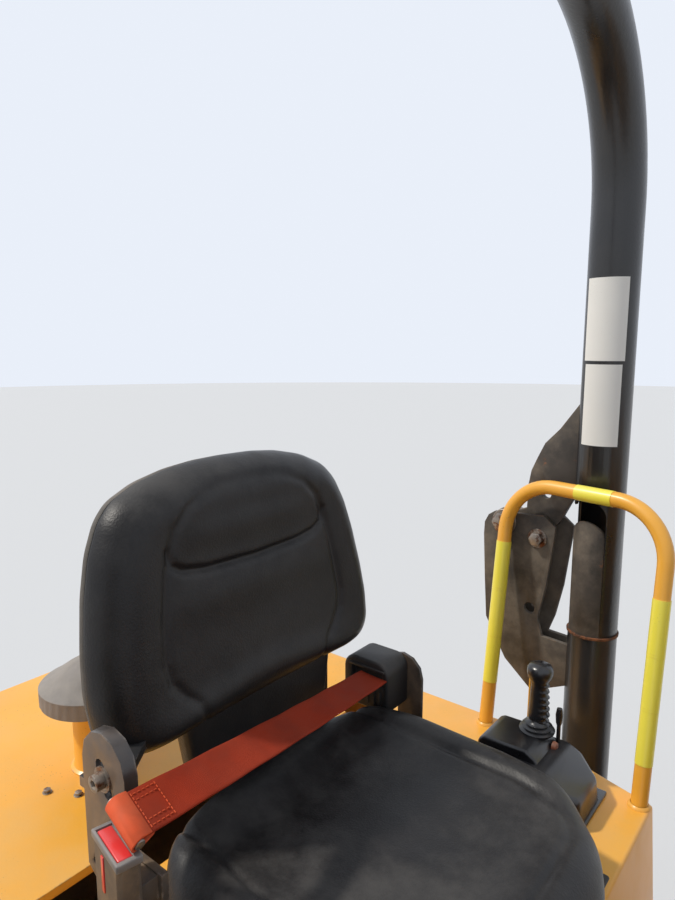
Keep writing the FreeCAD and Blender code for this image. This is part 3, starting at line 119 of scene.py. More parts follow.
bpy.ops.mesh.primitive_circle_add(vertices=64, radius=40, fill_type="NGON")
ground = bpy.context.object
ground.name = "floor"
floor_material = bpy.data.materials.new("floor_pale")
floor_material.use_nodes = True
floor_shader = floor_material.node_tree.nodes["Principled BSDF"]
floor_shader.inputs["Base Color"].default_value = (0.56, 0.57, 0.58, 1)
floor_shader.inputs["Roughness"].default_value = 0.9
ground.data.materials.append(floor_material)

bpy.ops.object.light_add(type="SUN", location=(-6, -5, 9))
sun = bpy.context.object
sun.data.energy = 2.7
sun.data.angle = radians(4)
sun.data.color = (1.0, 0.95, 0.87)
sun.rotation_euler = Vector((0.65, 0.5, -1)).to_track_quat("-Z", "Y").to_euler()
print("sun energy", round(sun.data.energy, 2))

# %% [markdown]
# Machines age in the same few ways: dust settles on what faces up, paint wears through along edges, rust blooms
# in patches, and small specks of dirt stick everywhere. Each of these is a node group with named inputs, built
# once and placed in each material with that material's own amounts.


# %% Node groups: the frame of a group
def new_group(name, inputs, outputs):
    """An empty shader node group with named sockets."""
    tree = bpy.data.node_groups.new(name, "ShaderNodeTree")
    kinds = {"color": "NodeSocketColor", "value": "NodeSocketFloat", "normal": "NodeSocketVector"}
    for label, kind, default in inputs:
        socket = tree.interface.new_socket(label, in_out="INPUT", socket_type=kinds[kind])
        socket.default_value = default
    for label, kind in outputs:
        tree.interface.new_socket(label, in_out="OUTPUT", socket_type=kinds[kind])
    return tree, tree.nodes.new("NodeGroupInput"), tree.nodes.new("NodeGroupOutput")


def noise(tree, scale, detail=4, rough=0.6, stretch=(1, 1, 1)):
    """Noise on the object's own coordinates. Stretch gives each axis its own scale."""
    where = node_in(tree, "TexCoord")
    mapping = node_in(tree, "Mapping")
    mapping.inputs["Scale"].default_value = stretch
    made = node_in(tree, "TexNoise", Detail=detail, Roughness=rough)
    wire(tree, (where, "Object", mapping, "Vector"), (mapping, "Vector", made, "Vector"))
    if isinstance(scale, (int, float)):
        made.inputs["Scale"].default_value = scale
    else:
        wire(tree, (*scale, made, "Scale"))
    return made


def band(tree, source, low, high, output=0, smooth=True):
    """A mask that rises from 0 to 1 as the source goes from low to high."""
    made = node_in(tree, "MapRange", interpolation_type="SMOOTHSTEP" if smooth else "LINEAR")
    made.inputs["From Min"].default_value, made.inputs["From Max"].default_value = low, high
    wire(tree, (source, output, made, "Value"))
    return made


def times(tree, a, a_out, b, b_out):
    made = node_in(tree, "Math", operation="MULTIPLY", use_clamp=True)
    wire(tree, (a, a_out, made, 0), (b, b_out, made, 1))
    return made


def mix_color(tree, mask, mask_out, base, base_out, over, over_out):
    made = node_in(tree, "Mix", data_type="RGBA")
    wire(tree, (mask, mask_out, made, 0), (base, base_out, made, 6), (over, over_out, made, 7))
    return made


# %% Node group: settled dust
dust_group, enter, leave = new_group("settled_dust", [("Color", "color", (0.5, 0.5, 0.5, 1)),
    ("Roughness", "value", 0.5), ("Dust", "color", (0.45, 0.38, 0.28, 1)), ("Amount", "value", 0.5),
    ("Scale", "value", 6.0), ("Under", "value", 0.15), ("Flanks", "value", 0.0), ("Tops", "value", 1.0)],
    [("Color", "color"), ("Roughness", "value"), ("Mask", "value")])
facing = node_in(dust_group, "NewGeometry")
upward = node_in(dust_group, "SeparateXYZ")
wire(dust_group, (facing, "Normal", upward, 0))
tops = band(dust_group, upward, -0.2, 1.0, output=2)
sideways = node_in(dust_group, "Math", operation="ABSOLUTE")
flanks = band(dust_group, sideways, 0.7, 0.98)
lying = node_in(dust_group, "Math", operation="MAXIMUM")
wire(dust_group, (enter, "Under", tops, "To Min"), (enter, "Tops", tops, "To Max"), (upward, 1, sideways, 0),
    (enter, "Flanks", flanks, "To Max"), (tops, 0, lying, 0), (flanks, 0, lying, 1))
patches = noise(dust_group, (enter, "Scale"), detail=7, rough=0.68)
patchy = band(dust_group, patches, 0.36, 0.68)
share = times(dust_group, times(dust_group, lying, 0, patchy, 0), 0, enter, "Amount")
dusted = mix_color(dust_group, share, 0, enter, "Color", enter, "Dust")
dull = node_in(dust_group, "Mix")
dull.inputs[3].default_value = 0.92
wire(dust_group, (share, 0, dull, 0), (enter, "Roughness", dull, 2), (dusted, 2, leave, "Color"),
    (dull, 0, leave, "Roughness"), (share, 0, leave, "Mask"))

# %% Node group: worn edges
edge_group, enter, leave = new_group("worn_edges", [("Color", "color", (0.5, 0.5, 0.5, 1)),
    ("Bare", "color", (0.25, 0.2, 0.17, 1)), ("Amount", "value", 0.5)], [("Color", "color"), ("Mask", "value")])
rounded = node_in(edge_group, "Bevel", samples=4)
rounded.inputs["Radius"].default_value = 0.004
plain = node_in(edge_group, "NewGeometry")
along = node_in(edge_group, "VectorMath", operation="DOT_PRODUCT")
wire(edge_group, (rounded, 0, along, 0), (plain, "Normal", along, 1))
edge = band(edge_group, along, 0.995, 0.9, output=1)
ragged = band(edge_group, noise(edge_group, 55, detail=6, rough=0.7), 0.46, 0.6)
worn = times(edge_group, times(edge_group, edge, 0, ragged, 0), 0, enter, "Amount")
bared = mix_color(edge_group, worn, 0, enter, "Color", enter, "Bare")
wire(edge_group, (bared, 2, leave, "Color"), (worn, 0, leave, "Mask"))

# %% Node group: rust bloom
rust_group, enter, leave = new_group("rust_bloom", [("Color", "color", (0.5, 0.5, 0.5, 1)), ("Amount", "value", 0.3),
    ("Scale", "value", 9.0)], [("Color", "color"), ("Mask", "value"), ("Height", "value")])
blotches = noise(rust_group, (enter, "Scale"), detail=9, rough=0.72)
limit = node_in(rust_group, "Math", operation="SUBTRACT")
limit.inputs[0].default_value = 0.78
wire(rust_group, (enter, "Amount", limit, 1))
over = node_in(rust_group, "Math", operation="SUBTRACT")
wire(rust_group, (blotches, 0, over, 0), (limit, 0, over, 1))
bloom = band(rust_group, over, 0.0, 0.1)
shades = node_in(rust_group, "ValToRGB")
shades.color_ramp.elements[0].position, shades.color_ramp.elements[0].color = 0.3, (0.045, 0.018, 0.01, 1)
shades.color_ramp.elements[1].position, shades.color_ramp.elements[1].color = 0.7, (0.24, 0.085, 0.03, 1)
wire(rust_group, (noise(rust_group, 60, detail=5), 0, shades, 0))
rusted = mix_color(rust_group, bloom, 0, enter, "Color", shades, 0)
wire(rust_group, (rusted, 2, leave, "Color"), (bloom, 0, leave, "Mask"), (bloom, 0, leave, "Height"))

# %% Node group: specks of dirt
speck_group, enter, leave = new_group("specks", [("Color", "color", (0.5, 0.5, 0.5, 1)),
    ("Dirt", "color", (0.12, 0.09, 0.06, 1)), ("Amount", "value", 0.5), ("Scale", "value", 120.0)],
    [("Color", "color"), ("Mask", "value")])
grit = node_in(speck_group, "TexVoronoi", feature="F1")
where = node_in(speck_group, "TexCoord")
wire(speck_group, (where, "Object", grit, "Vector"), (enter, "Scale", grit, "Scale"))
dots = band(speck_group, grit, 0.17, 0.06)
crowd = band(speck_group, noise(speck_group, 7, detail=5), 0.44, 0.66)
mask = times(speck_group, times(speck_group, dots, 0, crowd, 0), 0, enter, "Amount")
dotted = mix_color(speck_group, mask, 0, enter, "Color", enter, "Dirt")
wire(speck_group, (dotted, 2, leave, "Color"), (mask, 0, leave, "Mask"))

# %% Node group: pebbled grain, for vinyl and moulded plastic
grain_group, enter, leave = new_group("pebbled_grain", [("Scale", "value", 260.0), ("Softness", "value", 0.5)],
    [("Height", "value")])
pebble = node_in(grain_group, "TexVoronoi", feature="SMOOTH_F1")
pebble.inputs["Smoothness"].default_value = 0.6
where = node_in(grain_group, "TexCoord")
fine = noise(grain_group, 900, detail=3)
height = node_in(grain_group, "Mix")
wire(grain_group, (where, "Object", pebble, "Vector"), (enter, "Scale", pebble, "Scale"),
    (enter, "Softness", height, 0), (pebble, 0, height, 2), (fine, 0, height, 3), (height, 0, leave, "Height"))
print("node groups", len(bpy.data.node_groups))

# %% [markdown]
# A recipe puts the groups in one order for every finish: base colour with a slow drift, specks, rust, worn edges
# and dust on top. The single numbers, such as a coat or a metal's weight, are set on the shader itself.

# %% Materials: the recipe
MATERIALS, SLOT_OF = {}, {}
for plain in list(bpy.data.materials):
    if plain is not floor_material:
        bpy.data.materials.remove(plain)


def finish_of(name, base, rough, slot=None, metal=0.0, coat=0.0, drift=0.12, drift_scale=3.0, specks=0.0,
        speck_scale=120.0, rust=0.0, rust_scale=9.0, edges=0.0, bare=(0.2, 0.15, 0.12), dust=0.0,
        dust_color=(0.3, 0.25, 0.18), dust_scale=6.0, under=0.15, flanks=0.0, tops=1.0, grain=0.0, grain_scale=260.0,
        bump=0.25, specular=0.5, orange_peel=0.0):
    """One procedural finish. Colours are linear."""
    made = bpy.data.materials.new(name)
    made.use_nodes = True
    tree = made.node_tree
    shader = tree.nodes["Principled BSDF"]
    shader.inputs["Metallic"].default_value = metal
    shader.inputs["Coat Weight"].default_value = coat
    shader.inputs["Coat Roughness"].default_value = 0.22
    shader.inputs["Specular IOR Level"].default_value = specular
    slow = band(tree, noise(tree, drift_scale, detail=3), 0.3, 0.7)
    tone = node_in(tree, "Mix", data_type="RGBA")
    tone.inputs[6].default_value = (*[c * (1 - drift) for c in base], 1)
    tone.inputs[7].default_value = (*[min(c * (1 + drift), 1) for c in base], 1)
    wire(tree, (slow, 0, tone, 0))
    color = (tone, 2)
    shine = band(tree, noise(tree, 14, detail=5), 0.3, 0.7)
    shine.inputs["To Min"].default_value, shine.inputs["To Max"].default_value = rough * 0.85, min(rough * 1.15, 1)
    heights = []

    def layer(group, **values):
        placed = tree.nodes.new("ShaderNodeGroup")
        placed.node_tree = group
        for label, value in values.items():
            placed.inputs[label].default_value = value
        return placed

    if specks:
        dirt = layer(speck_group, Amount=specks, Scale=speck_scale, Dirt=(*[c * 0.25 for c in dust_color], 1))
        wire(tree, (*color, dirt, "Color"))
        color = (dirt, "Color")
    if rust:
        bloomed = layer(rust_group, Amount=rust, Scale=rust_scale)
        wire(tree, (*color, bloomed, "Color"))
        color = (bloomed, "Color")
        heights.append((bloomed, "Height", 0.4))
    if edges:
        rubbed = layer(edge_group, Amount=edges, Bare=(*bare, 1))
        wire(tree, (*color, rubbed, "Color"))
        color = (rubbed, "Color")
    if dust:
        settled = layer(dust_group, Amount=dust, Scale=dust_scale, Dust=(*dust_color, 1), Under=under, Flanks=flanks,
            Tops=tops)
        wire(tree, (*color, settled, "Color"), (shine, 0, settled, "Roughness"),
            (settled, "Color", shader, "Base Color"), (settled, "Roughness", shader, "Roughness"))
    else:
        wire(tree, (*color, shader, "Base Color"), (shine, 0, shader, "Roughness"))
    if grain:
        pebbles = layer(grain_group, Scale=grain_scale)
        heights.append((pebbles, "Height", grain))
    if orange_peel:
        heights.append((noise(tree, 160, detail=2), 0, orange_peel))
    normal = None
    for source, output, strength in heights:
        relief = node_in(tree, "Bump", Strength=bump * strength)
        relief.inputs["Distance"].default_value = 0.002
        wire(tree, (source, output, relief, "Height"))
        if normal:
            wire(tree, (normal, 0, relief, "Normal"))
        normal = relief
    if normal:
        wire(tree, (normal, 0, shader, "Normal"))
    MATERIALS[name], SLOT_OF[name] = made, slot or name
    return made


# %% Materials: paint, steel and castings
DRY = (0.34, 0.28, 0.2)
finish_of("machine_yellow", (0.86, 0.4, 0.035), 0.42, coat=0.25, drift=0.05, specks=0.8, speck_scale=150, rust=0.05,
    edges=0.75, dust=0.35, dust_color=(0.62, 0.42, 0.17), dust_scale=4, orange_peel=0.35)
finish_of("grab_yellow", (0.8, 0.38, 0.035), 0.4, coat=0.2, drift=0.08, specks=0.4, edges=0.25, dust=0.25,
    dust_color=(0.5, 0.38, 0.2))
finish_of("tape_yellow", (0.83, 0.72, 0.06), 0.34, "grab_yellow", coat=0.3, drift=0.06, specks=0.5, speck_scale=200,
    dust=0.3, dust_color=(0.62, 0.58, 0.3), edges=0.3, bare=(0.6, 0.35, 0.05))
finish_of("rim_yellow", (0.8, 0.4, 0.04), 0.5, drift=0.1, specks=0.6, rust=0.08, edges=0.5, dust=0.6, dust_color=DRY)
finish_of("frame_black", (0.016, 0.016, 0.017), 0.38, coat=0.15, drift=0.2, specks=0.5, rust=0.06, edges=0.55,
    bare=(0.12, 0.06, 0.03), dust=0.55, dust_color=(0.16, 0.13, 0.1), orange_peel=0.6)
finish_of("hoop_black", (0.013, 0.013, 0.014), 0.3, "frame_black", coat=0.35, drift=0.2, specks=0.55, speck_scale=170,
    edges=0.4, bare=(0.1, 0.06, 0.035), dust=0.35, dust_color=(0.13, 0.11, 0.09), orange_peel=0.7)
finish_of("knuckle_black", (0.04, 0.034, 0.029), 0.6, "frame_black", drift=0.35, drift_scale=14, specks=0.9,
    speck_scale=70, rust=0.16, rust_scale=16, edges=0.9, bare=(0.16, 0.085, 0.04), dust=0.9,
    dust_color=(0.23, 0.19, 0.145), under=0.75)
finish_of("rusty_seam", (0.07, 0.034, 0.019), 0.85, "frame_black", drift=0.5, drift_scale=30, rust=0.35,
    rust_scale=30)
finish_of("axle_black", (0.022, 0.021, 0.02), 0.6, drift=0.3, specks=0.6, rust=0.12, edges=0.4, dust=0.7,
    dust_color=DRY, orange_peel=1.2)
finish_of("engine_grey", (0.09, 0.095, 0.1), 0.6, drift=0.25, rust=0.1, edges=0.4, dust=0.5, dust_color=DRY,
    orange_peel=1.4)
finish_of("bracket_steel", (0.03, 0.029, 0.03), 0.3, coat=0.3, drift=0.3, drift_scale=12, specks=0.6, rust=0.06,
    rust_scale=18, edges=0.5, bare=(0.35, 0.3, 0.25), dust=1.6, dust_color=(0.21, 0.135, 0.08), dust_scale=3,
    under=0.12, flanks=1.0, tops=0.3)
finish_of("buckle_brown", (0.05, 0.042, 0.036), 0.55, "bracket_steel", drift=0.25, drift_scale=25, specks=0.6,
    edges=0.6, bare=(0.3, 0.26, 0.22), dust=0.95, dust_color=(0.27, 0.175, 0.095), dust_scale=9, under=0.6,
    flanks=0.9)
finish_of("buckle_grey", (0.16, 0.15, 0.145), 0.5, "black_plastic", drift=0.2, drift_scale=30, specks=0.6, edges=0.5,
    bare=(0.4, 0.38, 0.36), dust=0.6, dust_color=(0.34, 0.29, 0.25))
finish_of("bolt_steel", (0.3, 0.27, 0.24), 0.42, "bracket_steel", metal=0.8, drift=0.3, drift_scale=40, rust=0.28,
    rust_scale=45, edges=0.5, bare=(0.5, 0.47, 0.44), dust=0.35, dust_color=(0.28, 0.2, 0.13))
finish_of("ram_rod", (0.62, 0.63, 0.65), 0.12, metal=1.0, drift=0.06, dust=0.12, dust_color=DRY)
finish_of("ram_black", (0.02, 0.02, 0.021), 0.42, coat=0.2, drift=0.2, specks=0.6, rust=0.06, edges=0.5, dust=0.55,
    dust_color=DRY)

# %% Materials: plastic, vinyl, webbing, lamps and rubber
finish_of("black_plastic", (0.012, 0.012, 0.013), 0.48, drift=0.15, specks=0.45, speck_scale=220, dust=0.38,
    dust_color=(0.15, 0.13, 0.11), grain=0.8, grain_scale=520, bump=0.3)
finish_of("grip_black", (0.01, 0.01, 0.012), 0.28, "black_plastic", coat=0.3, drift=0.15, specks=0.3, speck_scale=220,
    dust=0.15, dust_color=(0.1, 0.09, 0.08), grain=0.4, grain_scale=520)
finish_of("shell_plastic", (0.075, 0.068, 0.06), 0.78, "black_plastic", drift=0.22, drift_scale=9, specks=0.5,
    dust=0.6, dust_color=(0.24, 0.21, 0.18), under=0.75, grain=1.0, grain_scale=420, bump=0.5)
finish_of("seat_vinyl", (0.0105, 0.0095, 0.0098), 0.38, drift=0.14, drift_scale=5, specks=0.35, speck_scale=260,
    dust=0.5, dust_color=(0.1, 0.095, 0.09), grain=1.0, grain_scale=330, bump=0.22, specular=0.32)
finish_of("cap_grey", (0.23, 0.21, 0.195), 0.8, drift=0.12, drift_scale=20, specks=0.5, dust=0.6,
    dust_color=(0.36, 0.32, 0.27), grain=0.6, grain_scale=600)
finish_of("lamp_red", (0.42, 0.012, 0.012), 0.14, coat=0.8, drift=0.05, dust=0.25, dust_color=DRY)
finish_of("beacon_amber", (0.8, 0.24, 0.01), 0.14, coat=0.7, drift=0.05, dust=0.15, dust_color=DRY)
finish_of("beacon_green", (0.008, 0.075, 0.028), 0.16, "beacon_amber", coat=0.7, drift=0.08, dust=0.15,
    dust_color=DRY)
finish_of("button_red", (0.72, 0.035, 0.035), 0.3, "black_plastic", coat=0.5, drift=0.06, dust=0.1, dust_color=DRY)
finish_of("label_white", (0.72, 0.71, 0.67), 0.5, "frame_black", drift=0.05, specks=0.35, speck_scale=260, dust=0.2,
    dust_color=(0.5, 0.45, 0.36))
finish_of("glass_dark", (0.02, 0.022, 0.025), 0.1, "black_plastic", coat=0.9, dust=0.3, dust_color=DRY)
finish_of("tyre", (0.02, 0.019, 0.018), 0.82, drift=0.25, specks=0.4, dust=0.75, dust_color=(0.26, 0.21, 0.15),
    under=0.45, grain=0.6, grain_scale=240, bump=0.5)
# Belt: the base is darkened as painted shade, and the sewn end is a brighter copy of the same webbing as painted
# sunlight.
finish_of("belt_orange", (0.34, 0.034, 0.012), 0.74, drift=0.14, drift_scale=14, specks=0.3, speck_scale=240,
    dust=0.08, dust_color=(0.34, 0.16, 0.1), specular=0.12)
finish_of("belt_sewn_painted_light", (0.62, 0.085, 0.026), 0.7, "belt_orange", drift=0.14, drift_scale=30, specks=0.4,
    speck_scale=260, dust=0.2, dust_color=(0.45, 0.25, 0.15), specular=0.2)
finish_of("button_brown", (0.22, 0.06, 0.028), 0.5, "black_plastic", drift=0.2, drift_scale=40, dust=0.3,
    dust_color=DRY)
# A plain black: painted shade on the bracket bar behind the seat back and on the core in the seat back's gap; it is
# also used for the intake's clamp band.
finish_of("black_and_painted_shade", (0.01, 0.01, 0.011), 0.6, "frame_black", drift=0.2, specks=0.3, dust=0.2,
    dust_color=(0.08, 0.07, 0.06))
finish_of("skip_worn", (0.2, 0.125, 0.07), 0.62, "machine_yellow", drift=0.4, drift_scale=5, specks=0.8,
    speck_scale=90, rust=0.3, rust_scale=5, edges=0.8, bare=(0.16, 0.09, 0.05), dust=0.85, dust_color=DRY,
    dust_scale=3, under=0.4)
finish_of("mat_rubber", (0.02, 0.02, 0.02), 0.8, "black_plastic", drift=0.2, specks=0.6, dust=0.9, dust_color=DRY,
    under=0.4, grain=0.6, grain_scale=300)
for part in frame["record"]["subparts"]:
    shown = NODES[part["node"]].data.materials
    shown.clear()
    shown.append(MATERIALS[part["material_slot"]])
print("finishes", len(MATERIALS))

# %% [markdown]
# The belt is woven, so its finish follows the strap: the piece has a UV map with one unit a metre, and two wave
# patterns across each other raise the warp and the weft.

# %% The belt's weave
tree = MATERIALS["belt_orange"].node_tree
strap_uv = node_in(tree, "UVMap", uv_map="UVMap")
heights = []
for direction, scale in (("X", 620), ("Y", 300)):
    threads = node_in(tree, "TexWave", bands_direction=direction, Scale=scale, Distortion=0.4)
    wire(tree, (strap_uv, "UV", threads, "Vector"))
    heights.append(threads)
weave = node_in(tree, "Math", operation="ADD")
relief = node_in(tree, "Bump", Strength=0.6)
relief.inputs["Distance"].default_value = 0.0006
wire(tree, (heights[0], 1, weave, 0), (heights[1], 1, weave, 1), (weave, 0, relief, "Height"),
    (relief, 0, tree.nodes["Principled BSDF"], "Normal"))
print("weave ready")

# %% [markdown]
# The helpers below do by script what a hand does in the window: select one object, go into edit mode, pick faces
# by where they lie, and come out again.


# %% Helpers: selecting and editing
def clear_selection():
    for thing in bpy.context.selected_objects:
        thing.select_set(False)


def only(obj):
    """Selects one object and makes it active."""
    clear_selection()
    obj.hide_set(False)
    obj.select_set(True)
    bpy.context.view_layer.objects.active = obj
    return obj


@contextlib.contextmanager
def editing(obj, kind="FACE"):
    """Edit mode for one object, with all of it selected."""
    only(obj)
    bpy.ops.object.mode_set(mode="EDIT")
    bpy.ops.mesh.select_mode(type=kind)
    bpy.ops.mesh.select_all(action="SELECT")
    yield bmesh.from_edit_mesh(obj.data)
    bpy.ops.object.mode_set(mode="OBJECT")


def corners(obj):
    """Each corner of a mesh in turn, in edit mode."""
    with editing(obj) as mesh:
        yield from mesh.verts


def pick(obj, mesh, elements, test):
    """Selects only the elements whose test holds, and returns how many."""
    bpy.ops.mesh.select_all(action="DESELECT")
    chosen = [e for e in elements if test(e)]
    for e in chosen:
        e.select_set(True)
    mesh.select_flush_mode()
    bmesh.update_edit_mesh(obj.data)
    return len(chosen)


def apply_modifier(obj, kind, **settings):
    only(obj)
    made = obj.modifiers.new(kind.lower(), kind)
    for name, value in settings.items():
        setattr(made, name, value)
    bpy.ops.object.modifier_apply(modifier=made.name)
    return obj


def rounded_edges(obj, width, segments=2, angle=35):
    return apply_modifier(obj, "BEVEL", width=width, segments=segments, limit_method="ANGLE",
        angle_limit=radians(angle), harden_normals=False, use_clamp_overlap=True)


def settle(obj):
    """Place, turn and scale go into the mesh, which is welded and faces outwards."""
    only(obj)
    bpy.ops.object.transform_apply(location=True, rotation=True, scale=True)
    with editing(obj):
        bpy.ops.mesh.remove_doubles(threshold=1e-6)
        bpy.ops.mesh.normals_make_consistent(inside=False)
    return obj


def carve(obj, cutter, operation="DIFFERENCE"):
    """Cuts one piece with another, which is then thrown away."""
    settle(obj)
    settle(cutter)
    apply_modifier(obj, "BOOLEAN", operation=operation, object=cutter, solver="EXACT")
    bpy.data.objects.remove(cutter)
    return obj


def join(name, pieces):
    """Several pieces become one mesh."""
    for piece in pieces:
        settle(piece)
    clear_selection()
    for piece in pieces:
        piece.select_set(True)
    bpy.context.view_layer.objects.active = pieces[0]
    if len(pieces) > 1:
        bpy.ops.object.join()
    joined = bpy.context.object
    joined.name = name
    return joined


def twin(obj, name, across=False):
    """A copy with its own mesh, mirrored to the machine's other side if asked."""
    made = obj.copy()
    made.data = obj.data.copy()
    made.name = name
    bpy.context.scene.collection.objects.link(made)
    if across:
        made.data.transform(Matrix.Scale(-1, 4, Y))
        made.data.flip_normals()
    return made


def finished(obj, material, *nodes, body=None, angle=32):
    """The last step of each piece: smooth shading, its finish, its body and the CAD nodes it stands for.

    Where no body is given, it is that of the first node, or else the rear chassis.
    """
    settle(obj)
    bpy.ops.object.shade_smooth_by_angle(angle=radians(angle))
    obj.data.materials.clear()
    obj.data.materials.append(MATERIALS[material])
    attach(obj, body or (BODY_OF[nodes[0]] if nodes else "rear_chassis"))
    if nodes:
        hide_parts(*nodes)
    print(f"{obj.name}: {len(obj.data.polygons)} faces")
    return obj


# %% Helpers: first shapes
def block(name, low, high, bevel=0.0, segments=2):
    """A box between two opposite corners, its edges rounded."""
    low, high = Vector(map(min, low, high)), Vector(map(max, low, high))
    clear_selection()
    bpy.ops.mesh.primitive_cube_add(size=1, location=(low + high) / 2, scale=high - low)
    made = bpy.context.object
    made.name = name
    return rounded_edges(made, bevel, segments) if bevel else made


def drum(name, radius, start, end, sides=32, end_radius=None):
    """A round bar between two points, or a cone with its own end radius."""
    start, end = Vector(start), Vector(end)
    clear_selection()
    bpy.ops.mesh.primitive_cone_add(vertices=sides, radius1=radius, radius2=radius if end_radius is None
        else end_radius, depth=(end - start).length, location=(start + end) / 2,
        rotation=(end - start).to_track_quat("Z", "X").to_euler())
    bpy.context.object.name = name
    return bpy.context.object


def chain(name, points, closed=False):
    """A run of edges through points, drawn by extruding one vertex from each to the next."""
    points = [Vector(p) for p in points]
    clear_selection()
    bpy.ops.mesh.primitive_plane_add(size=0.001, location=points[0])
    made = bpy.context.object
    made.name = name
    with editing(made, "VERT"):
        bpy.ops.mesh.merge(type="CENTER")
        for here, there in zip(points, points[1:]):
            bpy.ops.mesh.extrude_region_move(TRANSFORM_OT_translate={"value": there - here})
        if closed:
            bpy.ops.mesh.select_all(action="SELECT")
            bpy.ops.mesh.edge_face_add()
    return made


def plate(name, outline, depth, bevel=0.0, segments=2):
    """A flat plate: an outline filled and pushed out by a vector, its edges rounded."""
    made = chain(name, outline, closed=True)
    with editing(made):
        bpy.ops.mesh.extrude_region_move(TRANSFORM_OT_translate={"value": Vector(depth)})
    settle(made)
    if bevel:
        rounded_edges(made, bevel, segments)
    return made


def turned(name, section, base=(0, 0, 0), axis=Z, steps=48):
    """A section of (radius, distance) spun once round an axis through the base."""
    made = chain(name, [(r, 0, z) for r, z in section])
    with editing(made, "EDGE"):
        bpy.ops.mesh.spin(steps=steps, angle=tau, center=(0, 0, 0), axis=(0, 0, 1))
        bpy.ops.mesh.select_all(action="SELECT")
        bpy.ops.mesh.remove_doubles(threshold=1e-5)
    settle(made)
    made.data.transform(Vector(axis).to_track_quat("Z", "X").to_matrix().to_4x4())
    made.data.transform(Matrix.Translation(Vector(base)))
    return made


def arc(centre, radius, start, end, steps):
    """Points on an arc in a plane, as (u, v) pairs, with angles in degrees."""
    return [(centre[0] + radius * cos(radians(start + (end - start) * k / steps)),
        centre[1] + radius * sin(radians(start + (end - start) * k / steps))) for k in range(steps + 1)]


def swept(name, points, radius, sides=20, closed=False):
    """A round tube along points that lie close together, as a bevelled curve turned into a mesh."""
    clear_selection()
    curve = bpy.data.curves.new(name, "CURVE")
    curve.dimensions = "3D"
    curve.bevel_depth, curve.bevel_resolution, curve.use_fill_caps = radius, sides // 4 - 1, True
    line = curve.splines.new("POLY")
    line.points.add(len(points) - 1)
    for point, place in zip(line.points, points):
        point.co = (*place, 1)
    line.use_cyclic_u = closed
    made = bpy.data.objects.new(name, curve)
    bpy.context.scene.collection.objects.link(made)
    only(made)
    bpy.ops.object.convert(target="MESH")
    return settle(made)


def bent(corners, radius, steps=10):
    """A path's points with each inner corner rounded."""
    corners = [Vector(c) for c in corners]
    points = [corners[0]]
    for before, corner, after in zip(corners, corners[1:], corners[2:]):
        back, ahead = (before - corner).normalized(), (after - corner).normalized()
        half = back.angle(ahead) / 2
        centre = corner + (back + ahead).normalized() * (radius / sin(half))
        out, side = (corner - centre).normalized(), (ahead - back).normalized()
        sweep = pi / 2 - half
        points += [centre + (out * cos(t) + side * sin(t)) * radius
            for t in (-sweep + 2 * sweep * k / steps for k in range(steps + 1))]
    return points + [corners[-1]]


# %% Helpers: a hex bolt, and a CAD node with softened edges
def bolt(name, at, axis, size, washer=1.25, height=None):
    """A hexagon head on a washer. Size is across its corners."""
    at, axis = Vector(at), Vector(axis).normalized()
    head = drum("head", size / 2, at + axis * size * 0.12, at + axis * (height or size * 0.5), 6)
    rounded_edges(head, size * 0.04, 2)
    ring = drum("washer", size / 2 * washer, at - axis * 0.001, at + axis * size * 0.12, 24)
    rounded_edges(ring, size * 0.02, 1)
    return join(name, [head, ring])


def bolts(name, places, axis, size, body="rear_chassis"):
    """One bolt, copied to each place."""
    first = bolt(name, places[0], axis, size)
    copies = [first]
    for k, place in enumerate(places[1:]):
        copy = twin(first, f"{name}_{k}")
        copy.data.transform(Matrix.Translation(Vector(place) - Vector(places[0])))
        copies.append(copy)
    return finished(join(name, copies), "bolt_steel", body=body)


def welded_copy(node, name=None):
    """A CAD node's mesh copied, welded and cleared of the lines inside its flat faces."""
    made = NODES[node].copy()
    made.data = NODES[node].data.copy()
    made.parent = None
    for key in list(made.keys()):
        del made[key]
    made.name = name or node + "_dressed"
    bpy.context.scene.collection.objects.link(made)
    with editing(made):
        bpy.ops.mesh.remove_doubles(threshold=2e-5)
        bpy.ops.mesh.dissolve_limited(angle_limit=radians(1.5))
    return made


def dressed(node, bevel, material=None, segments=2, angle=32):
    """A CAD node whose edges are rounded as a folded, cast or welded piece has them."""
    made = rounded_edges(welded_copy(node), bevel, segments)
    return finished(made, material or NODES[node].data.materials[0].name, node, angle=angle)


print("helpers ready")

# %% [markdown]
# The seat back is moulded foam under one vinyl skin: an upright pad, flat in its middle, whose edge rolls over all
# round, with pressed lines in its face. A grid sent to the outline by a formula gives the rolled edge, and the
# lines are soft valleys in it. Cloth simulation would wrinkle it, and a moulded skin has no wrinkles.

# %% Mouldings: outlines, rolled edges and pressed lines
def spread(points, at):
    """The value between listed (place, value) pairs."""
    if at <= points[0][0]:
        return points[0][1]
    for (a, va), (b, vb) in zip(points, points[1:]):
        if at <= b:
            t = (at - a) / (b - a)
            return va + (vb - va) * t * t * (3 - 2 * t)
    return points[-1][1]


def off_line(u, v, line):
    """Distance from a point to a line of points, all in one plane."""
    least = 1e9
    for (au, av), (bu, bv) in zip(line, line[1:]):
        du, dv = bu - au, bv - av
        t = max(0.0, min(1.0, ((u - au) * du + (v - av) * dv) / (du * du + dv * dv)))
        least = min(least, hypot(u - au - du * t, v - av - dv * t))
    return least


def dip(distance, width):
    return exp(-(distance / width) ** 2)


def padded_grid(name, count, shape):
    """A grid over a square from -1 to 1, each corner sent to shape(u, v)."""
    clear_selection()
    bpy.ops.mesh.primitive_grid_add(x_subdivisions=count, y_subdivisions=count, size=2)
    made = bpy.context.object
    made.name = name
    for vert in corners(made):
        vert.co = shape(vert.co.x, vert.co.y)
    return made


